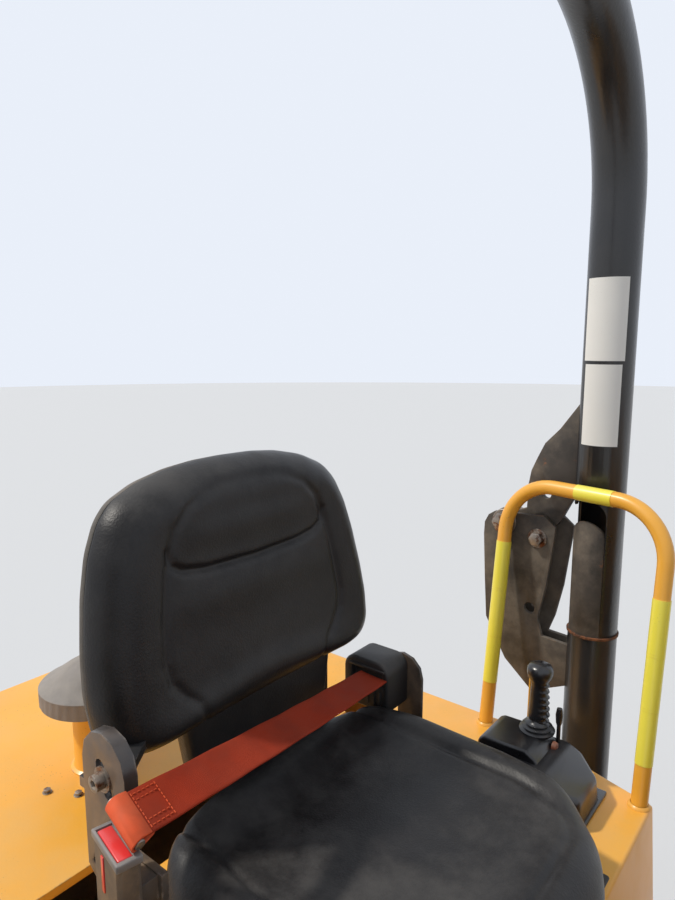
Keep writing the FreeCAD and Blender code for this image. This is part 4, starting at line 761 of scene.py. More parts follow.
def moulded(u, v, half_at, tall, power, width, depth, start=0.8):
    """Sends a square's corner onto a rounded outline. Returns its place across and up, and how far it rolls over."""
    ring = max(abs(u), abs(v), 1e-9)
    cu, cv = u / ring, v / ring
    reach = (abs(cu) ** power + abs(cv) ** power) ** (1 / power) or 1.0
    cu, cv = cu / reach, cv / reach
    turn = pi / 2 * max(0.0, (ring - start) / (1 - start))
    inset, share = width * (1 - sin(turn)), min(ring / start, 1)
    return cu * (half_at(cv * tall) - inset) * share, cv * (tall - inset) * share, depth * (1 - cos(turn))


def outline_reach(outline, steps=720, even=10):
    """How far an outline lies from the origin in each direction, evened out over a few degrees."""
    far = []
    for k in range(steps):
        du, dv = cos(tau * k / steps), sin(tau * k / steps)
        best = 0.0
        for (au, av), (bu, bv) in zip(outline, outline[1:] + outline[:1]):
            eu, ev = bu - au, bv - av
            cross = du * ev - dv * eu
            if abs(cross) > 1e-12 and -1e-6 <= (au * dv - av * du) / cross <= 1 + 1e-6:
                best = max(best, (au * ev - av * eu) / cross)
        far.append(best)
    return [sum(far[(k + j) % steps] for j in range(-even, even + 1)) / (2 * even + 1) for k in range(steps)]


def moulded_to(u, v, reach, wide, tall, width, depth, start=0.8):
    """Like moulded, for an outline of any shape, given by its reach in each direction."""
    ring = max(abs(u), abs(v), 1e-9)
    angle = atan2(v * tall, u * wide)
    place = angle / tau * len(reach)
    low = floor(place)
    here, there = reach[low % len(reach)], reach[(low + 1) % len(reach)]
    turn = pi / 2 * max(0.0, (ring - start) / (1 - start))
    far = (here + (there - here) * (place - low) - width * (1 - sin(turn))) * min(ring / start, 1)
    return far * cos(angle), far * sin(angle), depth * (1 - cos(turn))


def close_behind(obj, middle, steps):
    """Pushes a skin's open edge on, by (move, scale, scale) steps about a point, and fills it."""
    with editing(obj, "EDGE"):
        bpy.ops.mesh.select_all(action="DESELECT")
        bpy.ops.mesh.select_non_manifold(extend=False)
        for move, scale in steps:
            bpy.ops.mesh.extrude_region_move(TRANSFORM_OT_translate={"value": move})
            bpy.ops.transform.resize(value=scale, center_override=middle)
        bpy.ops.mesh.edge_face_add()
    return obj


# %% Seat back
BACK_Z, BACK_Y, BACK_WIDE, BACK_TALL = 1.925, 0.016, 0.247, 0.169
OUTLINE = [(0, 1.755), (0.196, 1.755), (0.231, 1.762), (0.251, 1.784), (0.256, 1.832), (0.252, 1.885), (0.242, 1.95),
    (0.229, 2.0), (0.211, 2.038), (0.191, 2.059), (0.15, 2.077), (0.1, 2.088), (0.05, 2.093), (0, 2.094)]
BACK_REACH = outline_reach([(y, z - BACK_Z) for y, z in OUTLINE]
    + [(-y, z - BACK_Z) for y, z in OUTLINE[-2:0:-1]], even=5)
HALF_SMILE = [(0, 1.957), (0.09, 1.96), (0.126, 1.966), (0.143, 1.976), (0.15, 1.995)]
HALF_ARCH = [(0, 2.066), (0.05, 2.065), (0.08, 2.058), (0.11, 2.045), (0.135, 2.02), (0.15, 1.98), (0.157, 1.95),
    (0.165, 1.906), (0.169, 1.86), (0.164, 1.835), (0.146, 1.812), (0.128, 1.797), (0.117, 1.77), (0.113, 1.74)]
SMILE = [(-y, z) for y, z in HALF_SMILE[:0:-1]] + HALF_SMILE
ARCH = [(-y, z) for y, z in HALF_ARCH[:0:-1]] + HALF_ARCH


def back_face(z):
    """The leaning plane of the seat back's front."""
    return -0.945 - 0.15 * (z - 1.78)


def back_point(u, v):
    """A corner of the seat back's front skin."""
    y, up, drop = moulded_to(u, v, BACK_REACH, BACK_WIDE, BACK_TALL, width=0.042, depth=0.04)
    z = BACK_Z + up
    groove = off_line(y, z, ARCH)
    x = back_face(z) - drop
    x += 0.005 * dip(max(abs(u), abs(v)) - 0.78, 0.12)
    x -= 0.0032 * dip(groove, 0.0065)
    x -= 0.0075 * dip(off_line(y, z, SMILE), 0.0058) * max(0.0, 1 - (abs(y) / 0.158) ** 8)
    x += 0.006 * dip(z - 2.012, 0.026) * max(0.0, 1 - (abs(y) / 0.145) ** 4)
    x += 0.005 * dip(z - 1.925, 0.03) * max(0.0, 1 - (abs(y) / 0.16) ** 4)
    return Vector((x, BACK_Y + y, z))


back = padded_grid("seat_back_pad", 170, back_point)
close_behind(back, (0, BACK_Y, BACK_Z), [((-0.003, 0, 0), (1, 1, 1)), ((-0.003, 0, 0), (1, 0.985, 0.98)),
    ((0, 0, 0), (1, 0.9, 0.88))])
finished(back, "seat_vinyl", "seat_back", angle=60)
stem = plate("seat_back_stem", [(-0.988, BACK_Y + y, z) for y, z in ((-0.15, 1.8), (-0.142, 1.745), (-0.134, 1.7),
    (-0.134, 1.652), (0.134, 1.652), (0.134, 1.7), (0.142, 1.745), (0.15, 1.8))], (0.034, 0, 0), 0.012, 4)
finished(stem, "seat_vinyl", angle=50)

# %% [markdown]
# Behind the pad sits a hard shell of textured plastic that bulges to the rear. Its edge shows as a dusty band
# beside the vinyl, with a dark gap between the two. It is the same moulding turned round, and a slimmer core joins
# shell and pad inside the gap; the core is plain black as painted shade, so that the gap reads as shaded.

# %% Seat shell, core of painted shade and document pocket
def shell_point(u, v):
    """A corner of the shell's rear skin."""
    y, up, drop = moulded_to(u, v, BACK_REACH, BACK_WIDE, BACK_TALL, width=0.095, depth=0.043, start=0.42)
    return Vector((back_face(BACK_Z + up) - 0.093 + drop, BACK_Y - y * 0.99, BACK_Z + up * 0.99))


shell = padded_grid("seat_shell_back", 96, shell_point)
close_behind(shell, (0, BACK_Y, BACK_Z), [((0.0015, 0, 0), (1, 0.997, 0.997)), ((0, 0, 0), (1, 0.96, 0.95)),
    ((-0.004, 0, 0), (1, 0.9, 0.9))])
finished(shell, "shell_plastic", "seat_shell", angle=40)
# The core is a plain black sheet in the gap between shell and pad: painted shade.
shade_core = plate("seat_back_shade_core", [(back_face(z) - 0.056, BACK_Y + y * 0.86, BACK_Z + (z - BACK_Z) * 0.84)
    for y, z in OUTLINE + [(-y, z) for y, z in OUTLINE[-2:0:-1]]], (0.024, 0, 0), 0.003, 2)
finished(shade_core, "black_and_painted_shade")
pocket = turned("document_pocket", [(0.001, 0), (0.15, 0), (0.152, 0.01), (0.14, 0.016), (0.128, 0.01),
    (0.001, 0.009)], (back_face(1.93) - 0.087, BACK_Y, 1.93), -X, 64)
pocket.data.transform(Matrix.Translation((0, 0, 1.93)) @ Matrix.Scale(0.66, 4, Z) @ Matrix.Translation((0, 0, -1.93)))
finished(pocket, "black_plastic")

# %% [markdown]
# The cushion is the same kind of moulding, lying down: wide at the rear with a raised lobe on each side, drawn in
# and rolled over at the front, with a pressed panel in the middle.

# %% Seat cushion
CUSH_LOW, CUSH_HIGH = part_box("seat_cushion")
HALF_ALONG = [(-0.955, 0.242), (-0.9, 0.256), (-0.82, 0.26), (-0.7, 0.257), (-0.62, 0.247), (-0.54, 0.222),
    (-0.49, 0.197)]
PANEL = [(-0.93, 0.172), (-0.8, 0.18), (-0.655, 0.181), (-0.608, 0.174), (-0.572, 0.159), (-0.556, 0.135),
    (-0.553, 0.07), (-0.552, 0)]
PANEL += [(x, -y) for x, y in PANEL[-2::-1]]
CUSH_MIDDLE, CUSH_LONG = (CUSH_LOW.x + CUSH_HIGH.x + 0.012) / 2, (CUSH_HIGH.x - CUSH_LOW.x + 0.012) / 2


def cushion_point(u, v):
    """A corner of the cushion's top skin. U runs forwards and V to the left."""
    y, along, drop = moulded(v, u, lambda at: spread(HALF_ALONG, CUSH_MIDDLE + at), CUSH_LONG, power=3.4, width=0.052,
        depth=0.052)
    x = CUSH_MIDDLE + along
    drop *= spread([(-0.94, 0.35), (-0.84, 1)], x)
    z = CUSH_HIGH.z + 0.003 - drop
    z += 0.012 * dip(abs(y) - 0.205, 0.032) * spread([(-0.62, 1), (-0.52, 0)], x)
    z += 0.01 * dip(abs(y) - 0.195, 0.045) * dip(x + 0.865, 0.06)
    z -= 0.012 * exp(-((y / 0.12) ** 2)) * spread([(-0.93, 0.5), (-0.8, 1), (-0.62, 0.7), (-0.54, 0)], x)
    z -= 0.016 * max(0.0, (x + 0.6) / 0.1) ** 2 if x > -0.6 else 0
    z += 0.026 * spread([(-0.945, 1), (-0.855, 0)], x) * max(0.0, 1 - (abs(y) / 0.235) ** 6)
    z -= 0.005 * dip(off_line(x, y, PANEL), 0.006)
    return Vector((x, y * 1.012 + 0.01, z))


cushion = padded_grid("seat_cushion_pad", 150, cushion_point)
close_behind(cushion, (CUSH_MIDDLE, 0, 0), [((0, 0, -0.012), (1.004, 1.004, 1)), ((0, 0, -0.016), (1, 1, 1)),
    ((0, 0, -0.01), (0.985, 0.985, 1)), ((0, 0, -0.004), (0.95, 0.95, 1))])
for vert in corners(cushion):
    vert.co.z = max(vert.co.z, CUSH_LOW.z + 0.001)
finished(cushion, "seat_vinyl", "seat_cushion", angle=60)

pan = welded_copy("seat_base", "seat_suspension")
with editing(pan) as mesh:
    bpy.ops.mesh.select_all(action="SELECT")
    bpy.ops.mesh.subdivide(number_cuts=5)
    for vert in mesh.verts:
        if abs(vert.co.z - (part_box("seat_base")[0].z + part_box("seat_base")[1].z) / 2) < 0.018:
            vert.co.x += 0.014 if vert.co.x < -0.73 else -0.014
            vert.co.y *= 0.94
rounded_edges(pan, 0.004, 2)
finished(pan, "black_plastic", "seat_base")

# %% [markdown]
# Steel brackets carry the back. The right one is a pressed plate with a rolled edge and a socket bolt in a slanted
# slot; the left one is lower and holds the belt's retractor. The CAD solid is copied and its edges are softened,
# and the bolts are added on top. The bar's corners are drawn in behind the seat back, and its faces there take a
# plain black as painted shade, where the seat back shades them. Dust lies on the plates' flat sides, while the
# rolled edge is rubbed bright.

# %% Recliner brackets
brackets = welded_copy("seat_brackets", "seat_brackets_dressed")
for vert in corners(brackets):
    if 1.776 < vert.co.z < 1.791 and -0.95 < vert.co.x < -0.93 and -0.2 < vert.co.y < 0.21:
        vert.co.x = -0.95 if vert.co.y < 0 else -0.99
    if 1.776 < vert.co.z < 1.791 and vert.co.x < -0.97 and vert.co.y < -0.25:
        vert.co.x = -0.945
    if vert.co.x < -0.95 and 0.19 < vert.co.y < 0.21:
        vert.co.y -= 0.045
rounded_edges(brackets, 0.0016, 3)
finished(brackets, "bracket_steel", "seat_brackets")
# The bar's faces behind the seat back take a plain black as painted shade.
brackets.data.materials.append(MATERIALS["black_and_painted_shade"])
for face in brackets.data.polygons:
    if face.center.x < -0.94 and -0.2 < face.center.y < 0.21:
        face.material_index = 1
BRACKET_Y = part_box("seat_brackets")[1].y
for side, sign, face in (("left", 1, (-0.895, 1.703)), ("right", -1, (-0.8945, 1.808))):
    face = Vector((face[0], sign * BRACKET_Y, face[1]))
    head = drum("socket_head", 0.0088, face - Y * sign * 0.002, face + Y * sign * 0.012, 28)
    carve(head, drum("socket", 0.0046, face + Y * sign * 0.005, face + Y * sign * 0.02, 6))
    rounded_edges(head, 0.001, 2)
    ring = turned("spring_washer", [(0.009, 0), (0.0138, 0), (0.0138, 0.0022), (0.009, 0.0022), (0.009, 0)], face,
        Y * sign, 28)
    finished(join(f"recliner_bolt_{side}", [head, ring]), "bolt_steel")

# %% [markdown]
# The lap belt is a stretched strip of webbing. It is a grid with a slight sag and twist between the buckle and
# the retractor, given a UV map in metres so that the weave runs along it, and then a thickness.

# %% Lap belt
BELT_WIDE, BELT_THICK = 0.05, 0.0024
BELT_START, BELT_END = Vector((-0.8055, -0.3155, 1.824)), Vector((-0.908, 0.213, 1.715))
WIDE_START, WIDE_END = Vector((0.939, -0.096, -0.33)).normalized(), Vector((0.985, 0.08, -0.12)).normalized()
run = BELT_END - BELT_START
ahead = run.normalized()
clear_selection()
bpy.ops.mesh.primitive_grid_add(x_subdivisions=90, y_subdivisions=12, size=2)
belt = bpy.context.object
belt.name = "lap_belt_webbing"
belt.data.uv_layers.active.name = "UVMap"
for loop in belt.data.loops:
    corner = belt.data.vertices[loop.vertex_index].co
    belt.data.uv_layers.active.data[loop.index].uv = ((corner.x + 1) / 2 * run.length, (corner.y + 1) / 2 * BELT_WIDE)
for vert in belt.data.vertices:
    t, s = (vert.co.x + 1) / 2, vert.co.y
    wide = WIDE_START.lerp(WIDE_END, t).normalized()
    up = wide.cross(ahead).normalized()
    sag = sin(pi * t)
    wave = up * (0.0005 * sin(t * 37 + s * 2) + 0.002 * (s * s - 0.4) * sag)
    vert.co = BELT_START + run * t + wide * (0.0248 * s) - Z * 0.003 * sag + wave
apply_modifier(belt, "SOLIDIFY", thickness=BELT_THICK, offset=0)
rounded_edges(belt, 0.0007, 1)
# Its dark base carries painted shade from the seat back.
finished(belt, "belt_orange", "lap_belt", angle=50)

# %% [markdown]
# At the buckle the webbing is folded round the tongue's bar and sewn back on itself. The fold is that loop's
# section pushed out across the belt, and each stitch is a short rounded bar.

# %% The belt's sewn end
WIDE = WIDE_START
UP = WIDE.cross(ahead).normalized()


def on_belt(along, across, above):
    """A point beside the belt's start, by distances along, across and above it."""
    return BELT_START + ahead * along + WIDE * across + UP * above


loop = [(0.014, 0.0013), (0.014, 0.0026), (0.004, 0.004)]
loop += [(0.001 + 0.0088 * cos(a), -0.0048 + 0.0088 * sin(a)) for a in (radians(90 + 15 * k) for k in range(13))]
loop += [(0.009, -0.0118), (0.019, -0.003), (0.019, -0.0012), (0.009, -0.009), (0.001, -0.0108)]
loop += [(0.001 + 0.0062 * cos(a), -0.0048 + 0.0062 * sin(a)) for a in (radians(255 - 15 * k) for k in range(11))]
# The fold takes the brighter copy of the webbing: painted sunlight.
fold = plate("belt_end", [on_belt(b, -0.0252, c) for b, c in loop], WIDE * 0.0504, 0.0005, 1)
finished(fold, "belt_sewn_painted_light", angle=50)
bar = drum("tongue_bar", 0.0052, on_belt(0.001, -0.027, -0.0048), on_belt(0.001, 0.027, -0.0048), 20)
finished(rounded_edges(bar, 0.001, 2), "bolt_steel")
stitches = []


def stitch(along, across, long_way):
    middle = on_belt(along, across, 0.0007)
    size = (0.0017, 0.00045) if long_way else (0.00045, 0.0017)
    made = plate("stitch", [middle + ahead * (a * size[0]) + WIDE * (b * size[1])
        for a, b in ((-1, -1), (1, -1), (1, 1), (-1, 1))], UP * 0.0012)
    stitches.append(rounded_edges(made, 0.0002, 1))


for row in (-0.019, -0.012, 0.012, 0.019):
    for k in range(5):
        stitch(0.021 + 0.006 * k, row, True)
for k in range(9):
    stitch(0.049, 0.019 * (k - 4) / 4, False)
    stitch(0.017, 0.019 * (k - 4) / 4, False)
# The stitching takes the same brighter copy: painted sunlight.
finished(join("belt_stitching", stitches), "belt_sewn_painted_light")

# %% [markdown]
# The buckle is a flat box that stands on a steel stalk. Its top is a grey frame round a red button, a slot down its
# outer face shows the red latch, and the steel tongue goes in between frame and button.

# %% Buckle
buckle = carve(welded_copy("belt_buckle", "belt_buckle_dressed"),
    block("above", (-0.9, -0.4, 1.8015), (-0.7, -0.25, 1.9)))
finished(rounded_edges(buckle, 0.0018, 3), "buckle_brown", "belt_buckle")
BUCKLE, BUCKLE_TURN = Vector((-0.811, -0.324, 1.802)), Matrix.Rotation(radians(-12), 4, "Z")


def on_buckle(made):
    """Turns a piece drawn about the buckle's top middle and puts it there."""
    settle(made)
    made.data.transform(Matrix.Translation(BUCKLE) @ BUCKLE_TURN)
    return made


frame_top = block("frame_top", (-0.031, -0.0125, -0.006), (0.031, 0.0125, 0.0022))
rounded_edges(frame_top, 0.0018, 3)
carve(frame_top, block("gap", (-0.0262, -0.0098, 0.0002), (0.0262, 0.006, 0.01)))
carve(frame_top, block("tongue_gap", (-0.021, 0.0078, -0.001), (0.021, 0.01, 0.01)))
finished(on_buckle(rounded_edges(frame_top, 0.0004, 2, 50)), "buckle_grey")
button = block("release_button", (-0.025, -0.0088, -0.002), (0.025, 0.0052, 0.0016), 0.0016, 3)
slit = block("release_slit", (-0.0075, -0.0128, -0.046), (-0.002, -0.011, -0.01), 0.0006)
finished(join("buckle_buttons", [on_buckle(button), on_buckle(slit)]), "button_red")
tongue = block("latch_tongue", (-0.0195, 0.008, -0.004), (0.0195, 0.0098, 0.0165), 0.0005)
finished(on_buckle(tongue), "bolt_steel")
seam = [block("seam", (-0.0306, side * 0.0119 - 0.0003, -0.082), (0.0306, side * 0.0119 + 0.0003, -0.078))
    for side in (-1, 1)]
for piece in seam:
    rounded_edges(piece, 0.0002, 1)
finished(on_buckle(join("buckle_seam", seam)), "buckle_grey")

# %% [markdown]
# The retractor is a rounded plastic case on the left bracket. The belt goes in at a recessed mouth on its inner
# side, so the mouth is carved out and its lips are rounded.

# %% Retractor
RET_LOW, RET_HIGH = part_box("belt_retractor")
case = block("retractor_case", RET_LOW, RET_HIGH)
settle(case)
with editing(case, "EDGE") as mesh:
    pick(case, mesh, mesh.edges, lambda e: all(v.co.z > RET_HIGH.z - 1e-4 for v in e.verts)
        and abs(e.verts[0].co.y - e.verts[1].co.y) > 0.01)
    bpy.ops.mesh.bevel(offset=0.022, segments=6)
rounded_edges(case, 0.004, 3)
carve(case, block("mouth", (RET_LOW.x + 0.016, RET_LOW.y - 0.01, 1.7),
    (RET_HIGH.x - 0.01, RET_LOW.y + 0.012, 1.7225)))
rounded_edges(case, 0.001, 2, 50)
finished(case, "black_plastic", "belt_retractor")
lips = [block("lip", (RET_LOW.x + 0.012, RET_LOW.y - 0.003, z), (RET_HIGH.x - 0.006, RET_LOW.y + 0.002, z + 0.004))
    for z in (1.6955, 1.723)]
ribs = [block("rib", (RET_LOW.x + 0.012 + 0.012 * k, RET_LOW.y - 0.0014, 1.664),
    (RET_LOW.x + 0.016 + 0.012 * k, RET_LOW.y + 0.002, 1.69)) for k in range(6)]
finished(join("retractor_lips", [rounded_edges(piece, 0.0008, 2) for piece in lips + ribs]), "black_plastic")

# %% [markdown]
# The grab rails are bent steel tube in machine paint, with bands of fluorescent tape wrapped round their legs. A
# circle is swept along the same bent path as the CAD rail, in finer steps.

# %% Grab rails and their tape
RAIL_R, RAIL_BEND, TAPE = 0.01345, 0.095, 0.0005
for side, sign in SIDES:
    rear_foot, front_foot = Vector((-0.859, sign * 0.53, 1.5045)), Vector((-0.551, sign * 0.461, 1.5045))
    rise = Vector((0, sign * 0.071, 0.482))
    path = bent([rear_foot, rear_foot + rise, front_foot + rise, front_foot], RAIL_BEND, 14)
    finished(swept(f"grab_rail_tube_{side}", path, RAIL_R, 28), "grab_yellow", f"grab_rail_{side}")
    bands = []
    for foot, low, high in ((rear_foot, 0.085, 0.362), (front_foot, 0.07, 0.338)):
        for k in range(3):
            a = low + (high - low) * k / 3
            b = low + (high - low) * (k + 1) / 3 + 0.004
            lean = rise / rise.length
            bands.append(drum("tape", RAIL_R + TAPE + 0.0002 * k, foot + lean * a, foot + lean * b, 32))
    span = (front_foot - rear_foot).normalized()
    top_a = rear_foot + rise + span * 0.146
    bands.append(drum("tape", 0.0142, top_a, top_a + span * 0.07, 32))
    finished(join(f"rail_tape_{side}", bands), "tape_yellow")
    feet = [turned("foot_weld", [(0.0125, 0), (0.018, 0), (0.0165, 0.003), (0.014, 0.005)], foot + Z * 0.0005, Z, 28)
        for foot in (rear_foot, front_foot)]
    finished(join(f"rail_welds_{side}", feet), "grab_yellow")

# %% [markdown]
# The roll-over hoop is one bent tube. Each leg ends at a knuckle, where it drops over a half sleeve that stands on
# the post: the leg has a tall arched notch, the sleeve fills it, and plates behind carry the fold pin. The notch
# and the sleeve are cut with the same arched slot, the notch a little wider and open to the rear, so that the leg
# swings clear of the sleeve when the hoop folds.

# %% Hoop: tube, notch and sleeve
LEG_X, LEG_Y, TUBE_R, BORE_R = -0.694, 0.63, 0.04445, 0.0385
SPLIT, SLEEVE_TOP, NOTCH_TOP, HOOP_TOP = 1.712, 1.93, 1.972, 2.825
SCARF, SLOT_R, SLOT_GAP = radians(75), 0.032, 0.001
KNUCKLE_T, PLATE_T, PLATE_GAP = 0.015, 0.01, 0.0125


def slot_cutter(sign, top, radius, rear):
    """An arched slot over one half of a leg, square to the scarf's plane. Its rear side can stand further out."""
    turn = SCARF if sign > 0 else -SCARF
    lift = 30 if rear > radius else 0
    outline = [(-radius, SPLIT - 0.03), (rear, SPLIT - 0.03), (rear, top - radius + (0.024 if lift else -0.0002))]
    outline += arc((0, top - radius), radius, lift, 180, 24)
    away = Matrix.Rotation(turn, 4, "Z")
    points = [away @ Vector((0, sign * u, w)) + Vector((LEG_X, sign * LEG_Y, 0)) for u, w in outline]
    return plate("slot", points, away @ Vector((-0.2, 0, 0)))


hoop_path = bent([(LEG_X, -LEG_Y, SPLIT + 0.0008), (LEG_X, -LEG_Y, HOOP_TOP - TUBE_R),
    (LEG_X, LEG_Y, HOOP_TOP - TUBE_R), (LEG_X, LEG_Y, SPLIT + 0.0008)], 0.3, 24)
hoop = swept("hoop_tube", hoop_path, TUBE_R, 56)
for sign in (1, -1):
    carve(hoop, drum("bore", BORE_R, (LEG_X, sign * LEG_Y, SPLIT - 0.01), (LEG_X, sign * LEG_Y, NOTCH_TOP + 0.09),
        48))
    carve(hoop, slot_cutter(sign, NOTCH_TOP, SLOT_R + SLOT_GAP, rear=0.06))
rounded_edges(hoop, 0.0012, 2, 40)

FOLD = Vector((-0.87, 0, 1.9))


def knuckle_outline():
    """The hoop's plate between the two hinge plates, in X and Z."""
    back, slim = LEG_X - TUBE_R + 0.005, LEG_X - TUBE_R - 0.007
    return ([(back, NOTCH_TOP + 0.176), (-0.773, 2.092), (-0.801, 2.062), (-0.815, 2.032), (-0.826, 2.006),
        (-0.831, 1.977), (-0.832, 1.93)] + arc((FOLD.x, FOLD.z), 0.023, 60, 270, 12)
        + [(FOLD.x + 0.06, FOLD.z - 0.034), (slim - 0.02, FOLD.z + 0.01), (slim, NOTCH_TOP - 0.02),
        (back, NOTCH_TOP)])


upper = []
for sign in (1, -1):
    low = sign * LEG_Y - KNUCKLE_T / 2
    made = plate("knuckle", [(x, low, z) for x, z in knuckle_outline()], (0, KNUCKLE_T, 0))
    carve(made, drum("hole", 0.009, (-0.793, low - 0.02, 1.963), (-0.793, low + 0.04, 1.963), 24))
    upper.append(rounded_edges(made, 0.0012, 2))
finished(hoop, "hoop_black", "rollover_hoop")
finished(join("hoop_knuckle_plates", upper), "knuckle_black", body="hoop")

# %% Posts: tube, half sleeve, hinge plates and foot
def hinge_outline(front):
    """One lower hinge plate, in X and Z. Its front edge can stand further forwards."""
    post = LEG_X - TUBE_R + 0.006
    return [(-0.791 + front, 1.923), (-0.893, 1.917), (-0.906, 1.908), (-0.914, 1.892), (-0.915, 1.867),
        (-0.91, 1.777), (-0.904, 1.692), (-0.885, 1.657), (-0.859, 1.612), (-0.8, 1.56), (post, 1.592), (post, 1.676),
        (-0.785, 1.68), (-0.795 + front, 1.714), (-0.781 + front, 1.78), (-0.768 + front, 1.886),
        (-0.767 + front, 1.903)]


POST_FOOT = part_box("hoop_post_left")[0].z
for side, sign in SIDES:
    tube = drum("post", TUBE_R, (LEG_X, sign * LEG_Y, POST_FOOT + 0.01), (LEG_X, sign * LEG_Y, SPLIT), 56)
    sleeve = drum("sleeve", TUBE_R - 0.0006, (LEG_X, sign * LEG_Y, SPLIT - 0.002),
        (LEG_X, sign * LEG_Y, SLEEVE_TOP + 0.01), 56)
    carve(sleeve, drum("bore", BORE_R, (LEG_X, sign * LEG_Y, SPLIT - 0.2), (LEG_X, sign * LEG_Y, SLEEVE_TOP + 0.1),
        48))
    carve(sleeve, slot_cutter(sign, SLEEVE_TOP, SLOT_R, rear=SLOT_R), "INTERSECT")
    rounded_edges(sleeve, 0.0012, 2, 40)
    collar = turned("split_ring", [(TUBE_R - 0.002, -0.004), (TUBE_R + 0.0022, -0.004), (TUBE_R + 0.0026, 0),
        (TUBE_R + 0.0022, 0.0005), (TUBE_R - 0.002, 0.0005)], (LEG_X, sign * LEG_Y, SPLIT), Z, 56)
    post = finished(join(f"post_tube_{side}", [tube, sleeve]), "hoop_black", f"hoop_post_{side}")
    post.data.materials.append(MATERIALS["knuckle_black"])
    for face in post.data.polygons:
        face.material_index = int(face.center.z > SPLIT - 0.001)
    finished(collar, "rusty_seam").name = f"split_ring_{side}"
    plates = []
    for low in (PLATE_GAP, -PLATE_GAP - PLATE_T):
        made = plate("hinge_plate", [(x, sign * LEG_Y + low, z)
            for x, z in hinge_outline(0.022 if sign * low > 0 else 0)], (0, PLATE_T, 0))
        carve(made, drum("hole", 0.011, (-0.812, sign * LEG_Y + low - 0.02, 1.732),
            (-0.812, sign * LEG_Y + low + 0.03, 1.732), 24))
        plates.append(rounded_edges(made, 0.0012, 2))
    pin = drum("fold_pin", 0.012, (FOLD.x, sign * LEG_Y - 0.026, FOLD.z), (FOLD.x, sign * LEG_Y + 0.026, FOLD.z), 32)
    foot = block("foot", (LEG_X - 0.06, sign * LEG_Y - (0.045 if sign > 0 else 0.07), POST_FOOT),
        (LEG_X + 0.06, sign * LEG_Y + (0.07 if sign > 0 else 0.045), POST_FOOT + 0.012))
    rounded_edges(foot, 0.002, 2)
    finished(join(f"hinge_plates_{side}", plates + [pin, foot]), "knuckle_black")
    heads = [bolt("fold_pin_head", (FOLD.x, sign * LEG_Y - s * 0.0225, FOLD.z), (0, -s, 0), 0.04) for s in (1, -1)]
    heads += [bolt("lock_bolt", (-0.801, sign * LEG_Y - s * 0.0225, 1.877), (0, -s, 0), 0.027, 1.4) for s in (1, -1)]
    finished(join(f"knuckle_bolts_{side}", heads), "bolt_steel")
    bolts(f"post_foot_bolts_{side}", [(LEG_X + dx, sign * (LEG_Y + 0.057), POST_FOOT + 0.012)
        for dx in (-0.045, 0.045)], Z, 0.018)

# %% [markdown]
# Two paper labels wrap part of the way round the left leg. They stay blank: each is a thin curved patch with a
# narrow dark frame, cut from a drum a hair larger than the tube.


# %% Blank labels on the hoop's left leg
def wrapped_label(name, middle, half_turn, low, high, proud, material):
    """A patch of a cylinder round the left leg, between two angles and two heights."""
    points = [(LEG_X + (TUBE_R + proud) * cos(radians(a)), LEG_Y + (TUBE_R + proud) * sin(radians(a)), low)
        for a in (middle - half_turn + 2 * half_turn * k / 14 for k in range(15))]
    made = chain(name, points)
    with editing(made, "EDGE"):
        bpy.ops.mesh.extrude_region_move(TRANSFORM_OT_translate={"value": (0, 0, high - low)})
    settle(made)
    apply_modifier(made, "SOLIDIFY", thickness=0.0003, offset=0)
    return finished(made, material, angle=60, body="hoop")


for k, (low, high, half) in enumerate(((2.219, 2.365, 50), (2.069, 2.2165, 45))):
    wrapped_label(f"label_border_{k}", -86, half, low, high, 0.0006, "hoop_black")
    wrapped_label(f"label_panel_{k}", -86, half - 2.2, low + 0.0018, high - 0.0018, 0.001, "label_white")

# %% [markdown]
# Pressed and welded sheet metal never has knife edges. The deck, the skip and the frame keep their CAD shape, and
# only gain soft edges, a few bolts and the skip's gussets.

# %% Deck, plinth, floor and steps
for name, width in (("deck_left", 0.006), ("deck_right", 0.006), ("seat_plinth", 0.005), ("floor_plate", 0.003),
        ("step_left", 0.0025), ("step_right", 0.0025), ("post_outrigger", 0.004)):
    dressed(name, width, segments=3)
# %% Chassis, pivot and axles
for name, width in (("chassis_rail_left", 0.003), ("chassis_rail_right", 0.003), ("pivot_yoke", 0.003),
        ("counterweight", 0.006), ("engine_bearers", 0.003), ("engine_block", 0.012), ("front_plate_left", 0.003),
        ("front_plate_right", 0.003), ("front_yoke", 0.002), ("steer_anchor", 0.002), ("centre_pivot", 0.003),
        ("rear_axle", 0.006), ("front_axle", 0.006)):
    dressed(name, width)

# %% [markdown]
# The control console is a black moulded housing beside the seat. A raised hood carries the grip lever in a rubber
# boot, and the housing droops in front of it. The CAD solid keeps its shape and gets wide soft edges, and the hood
# is a bevelled plate. The grip is spun from a section, with finger ribs pushed out on one side.

# %% Console and levers
console = rounded_edges(welded_copy("control_console"), 0.009, 4, 25)
finished(console, "grip_black", "control_console")
hood = plate("hood", [(x, 0.345, z) for x, z in ((-0.788, 1.57), (-0.785, 1.59), (-0.776, 1.597), (-0.702, 1.599),
    (-0.684, 1.588), (-0.676, 1.57))], (0, 0.089, 0), 0.006, 4)
ribs = [block("rib", (-0.792 + 0.004 * k, 0.2985, 1.517 + 0.014 * k), (-0.63, 0.308, 1.523 + 0.014 * k), 0.002)
    for k in range(3)]
lip = block("lip", (-0.803, 0.297, 1.5055), (-0.6, 0.455, 1.512), 0.0025)
boot = turned("boot", [(0.001, 0), (0.029, 0), (0.03, 0.003), (0.024, 0.006), (0.026, 0.009), (0.019, 0.012),
    (0.021, 0.015), (0.015, 0.018), (0.013, 0.024), (0.001, 0.024)], (-0.712, 0.421, 1.5965), Z, 36)
finished(join("console_hood", [hood, lip, boot] + ribs), "grip_black", angle=45)
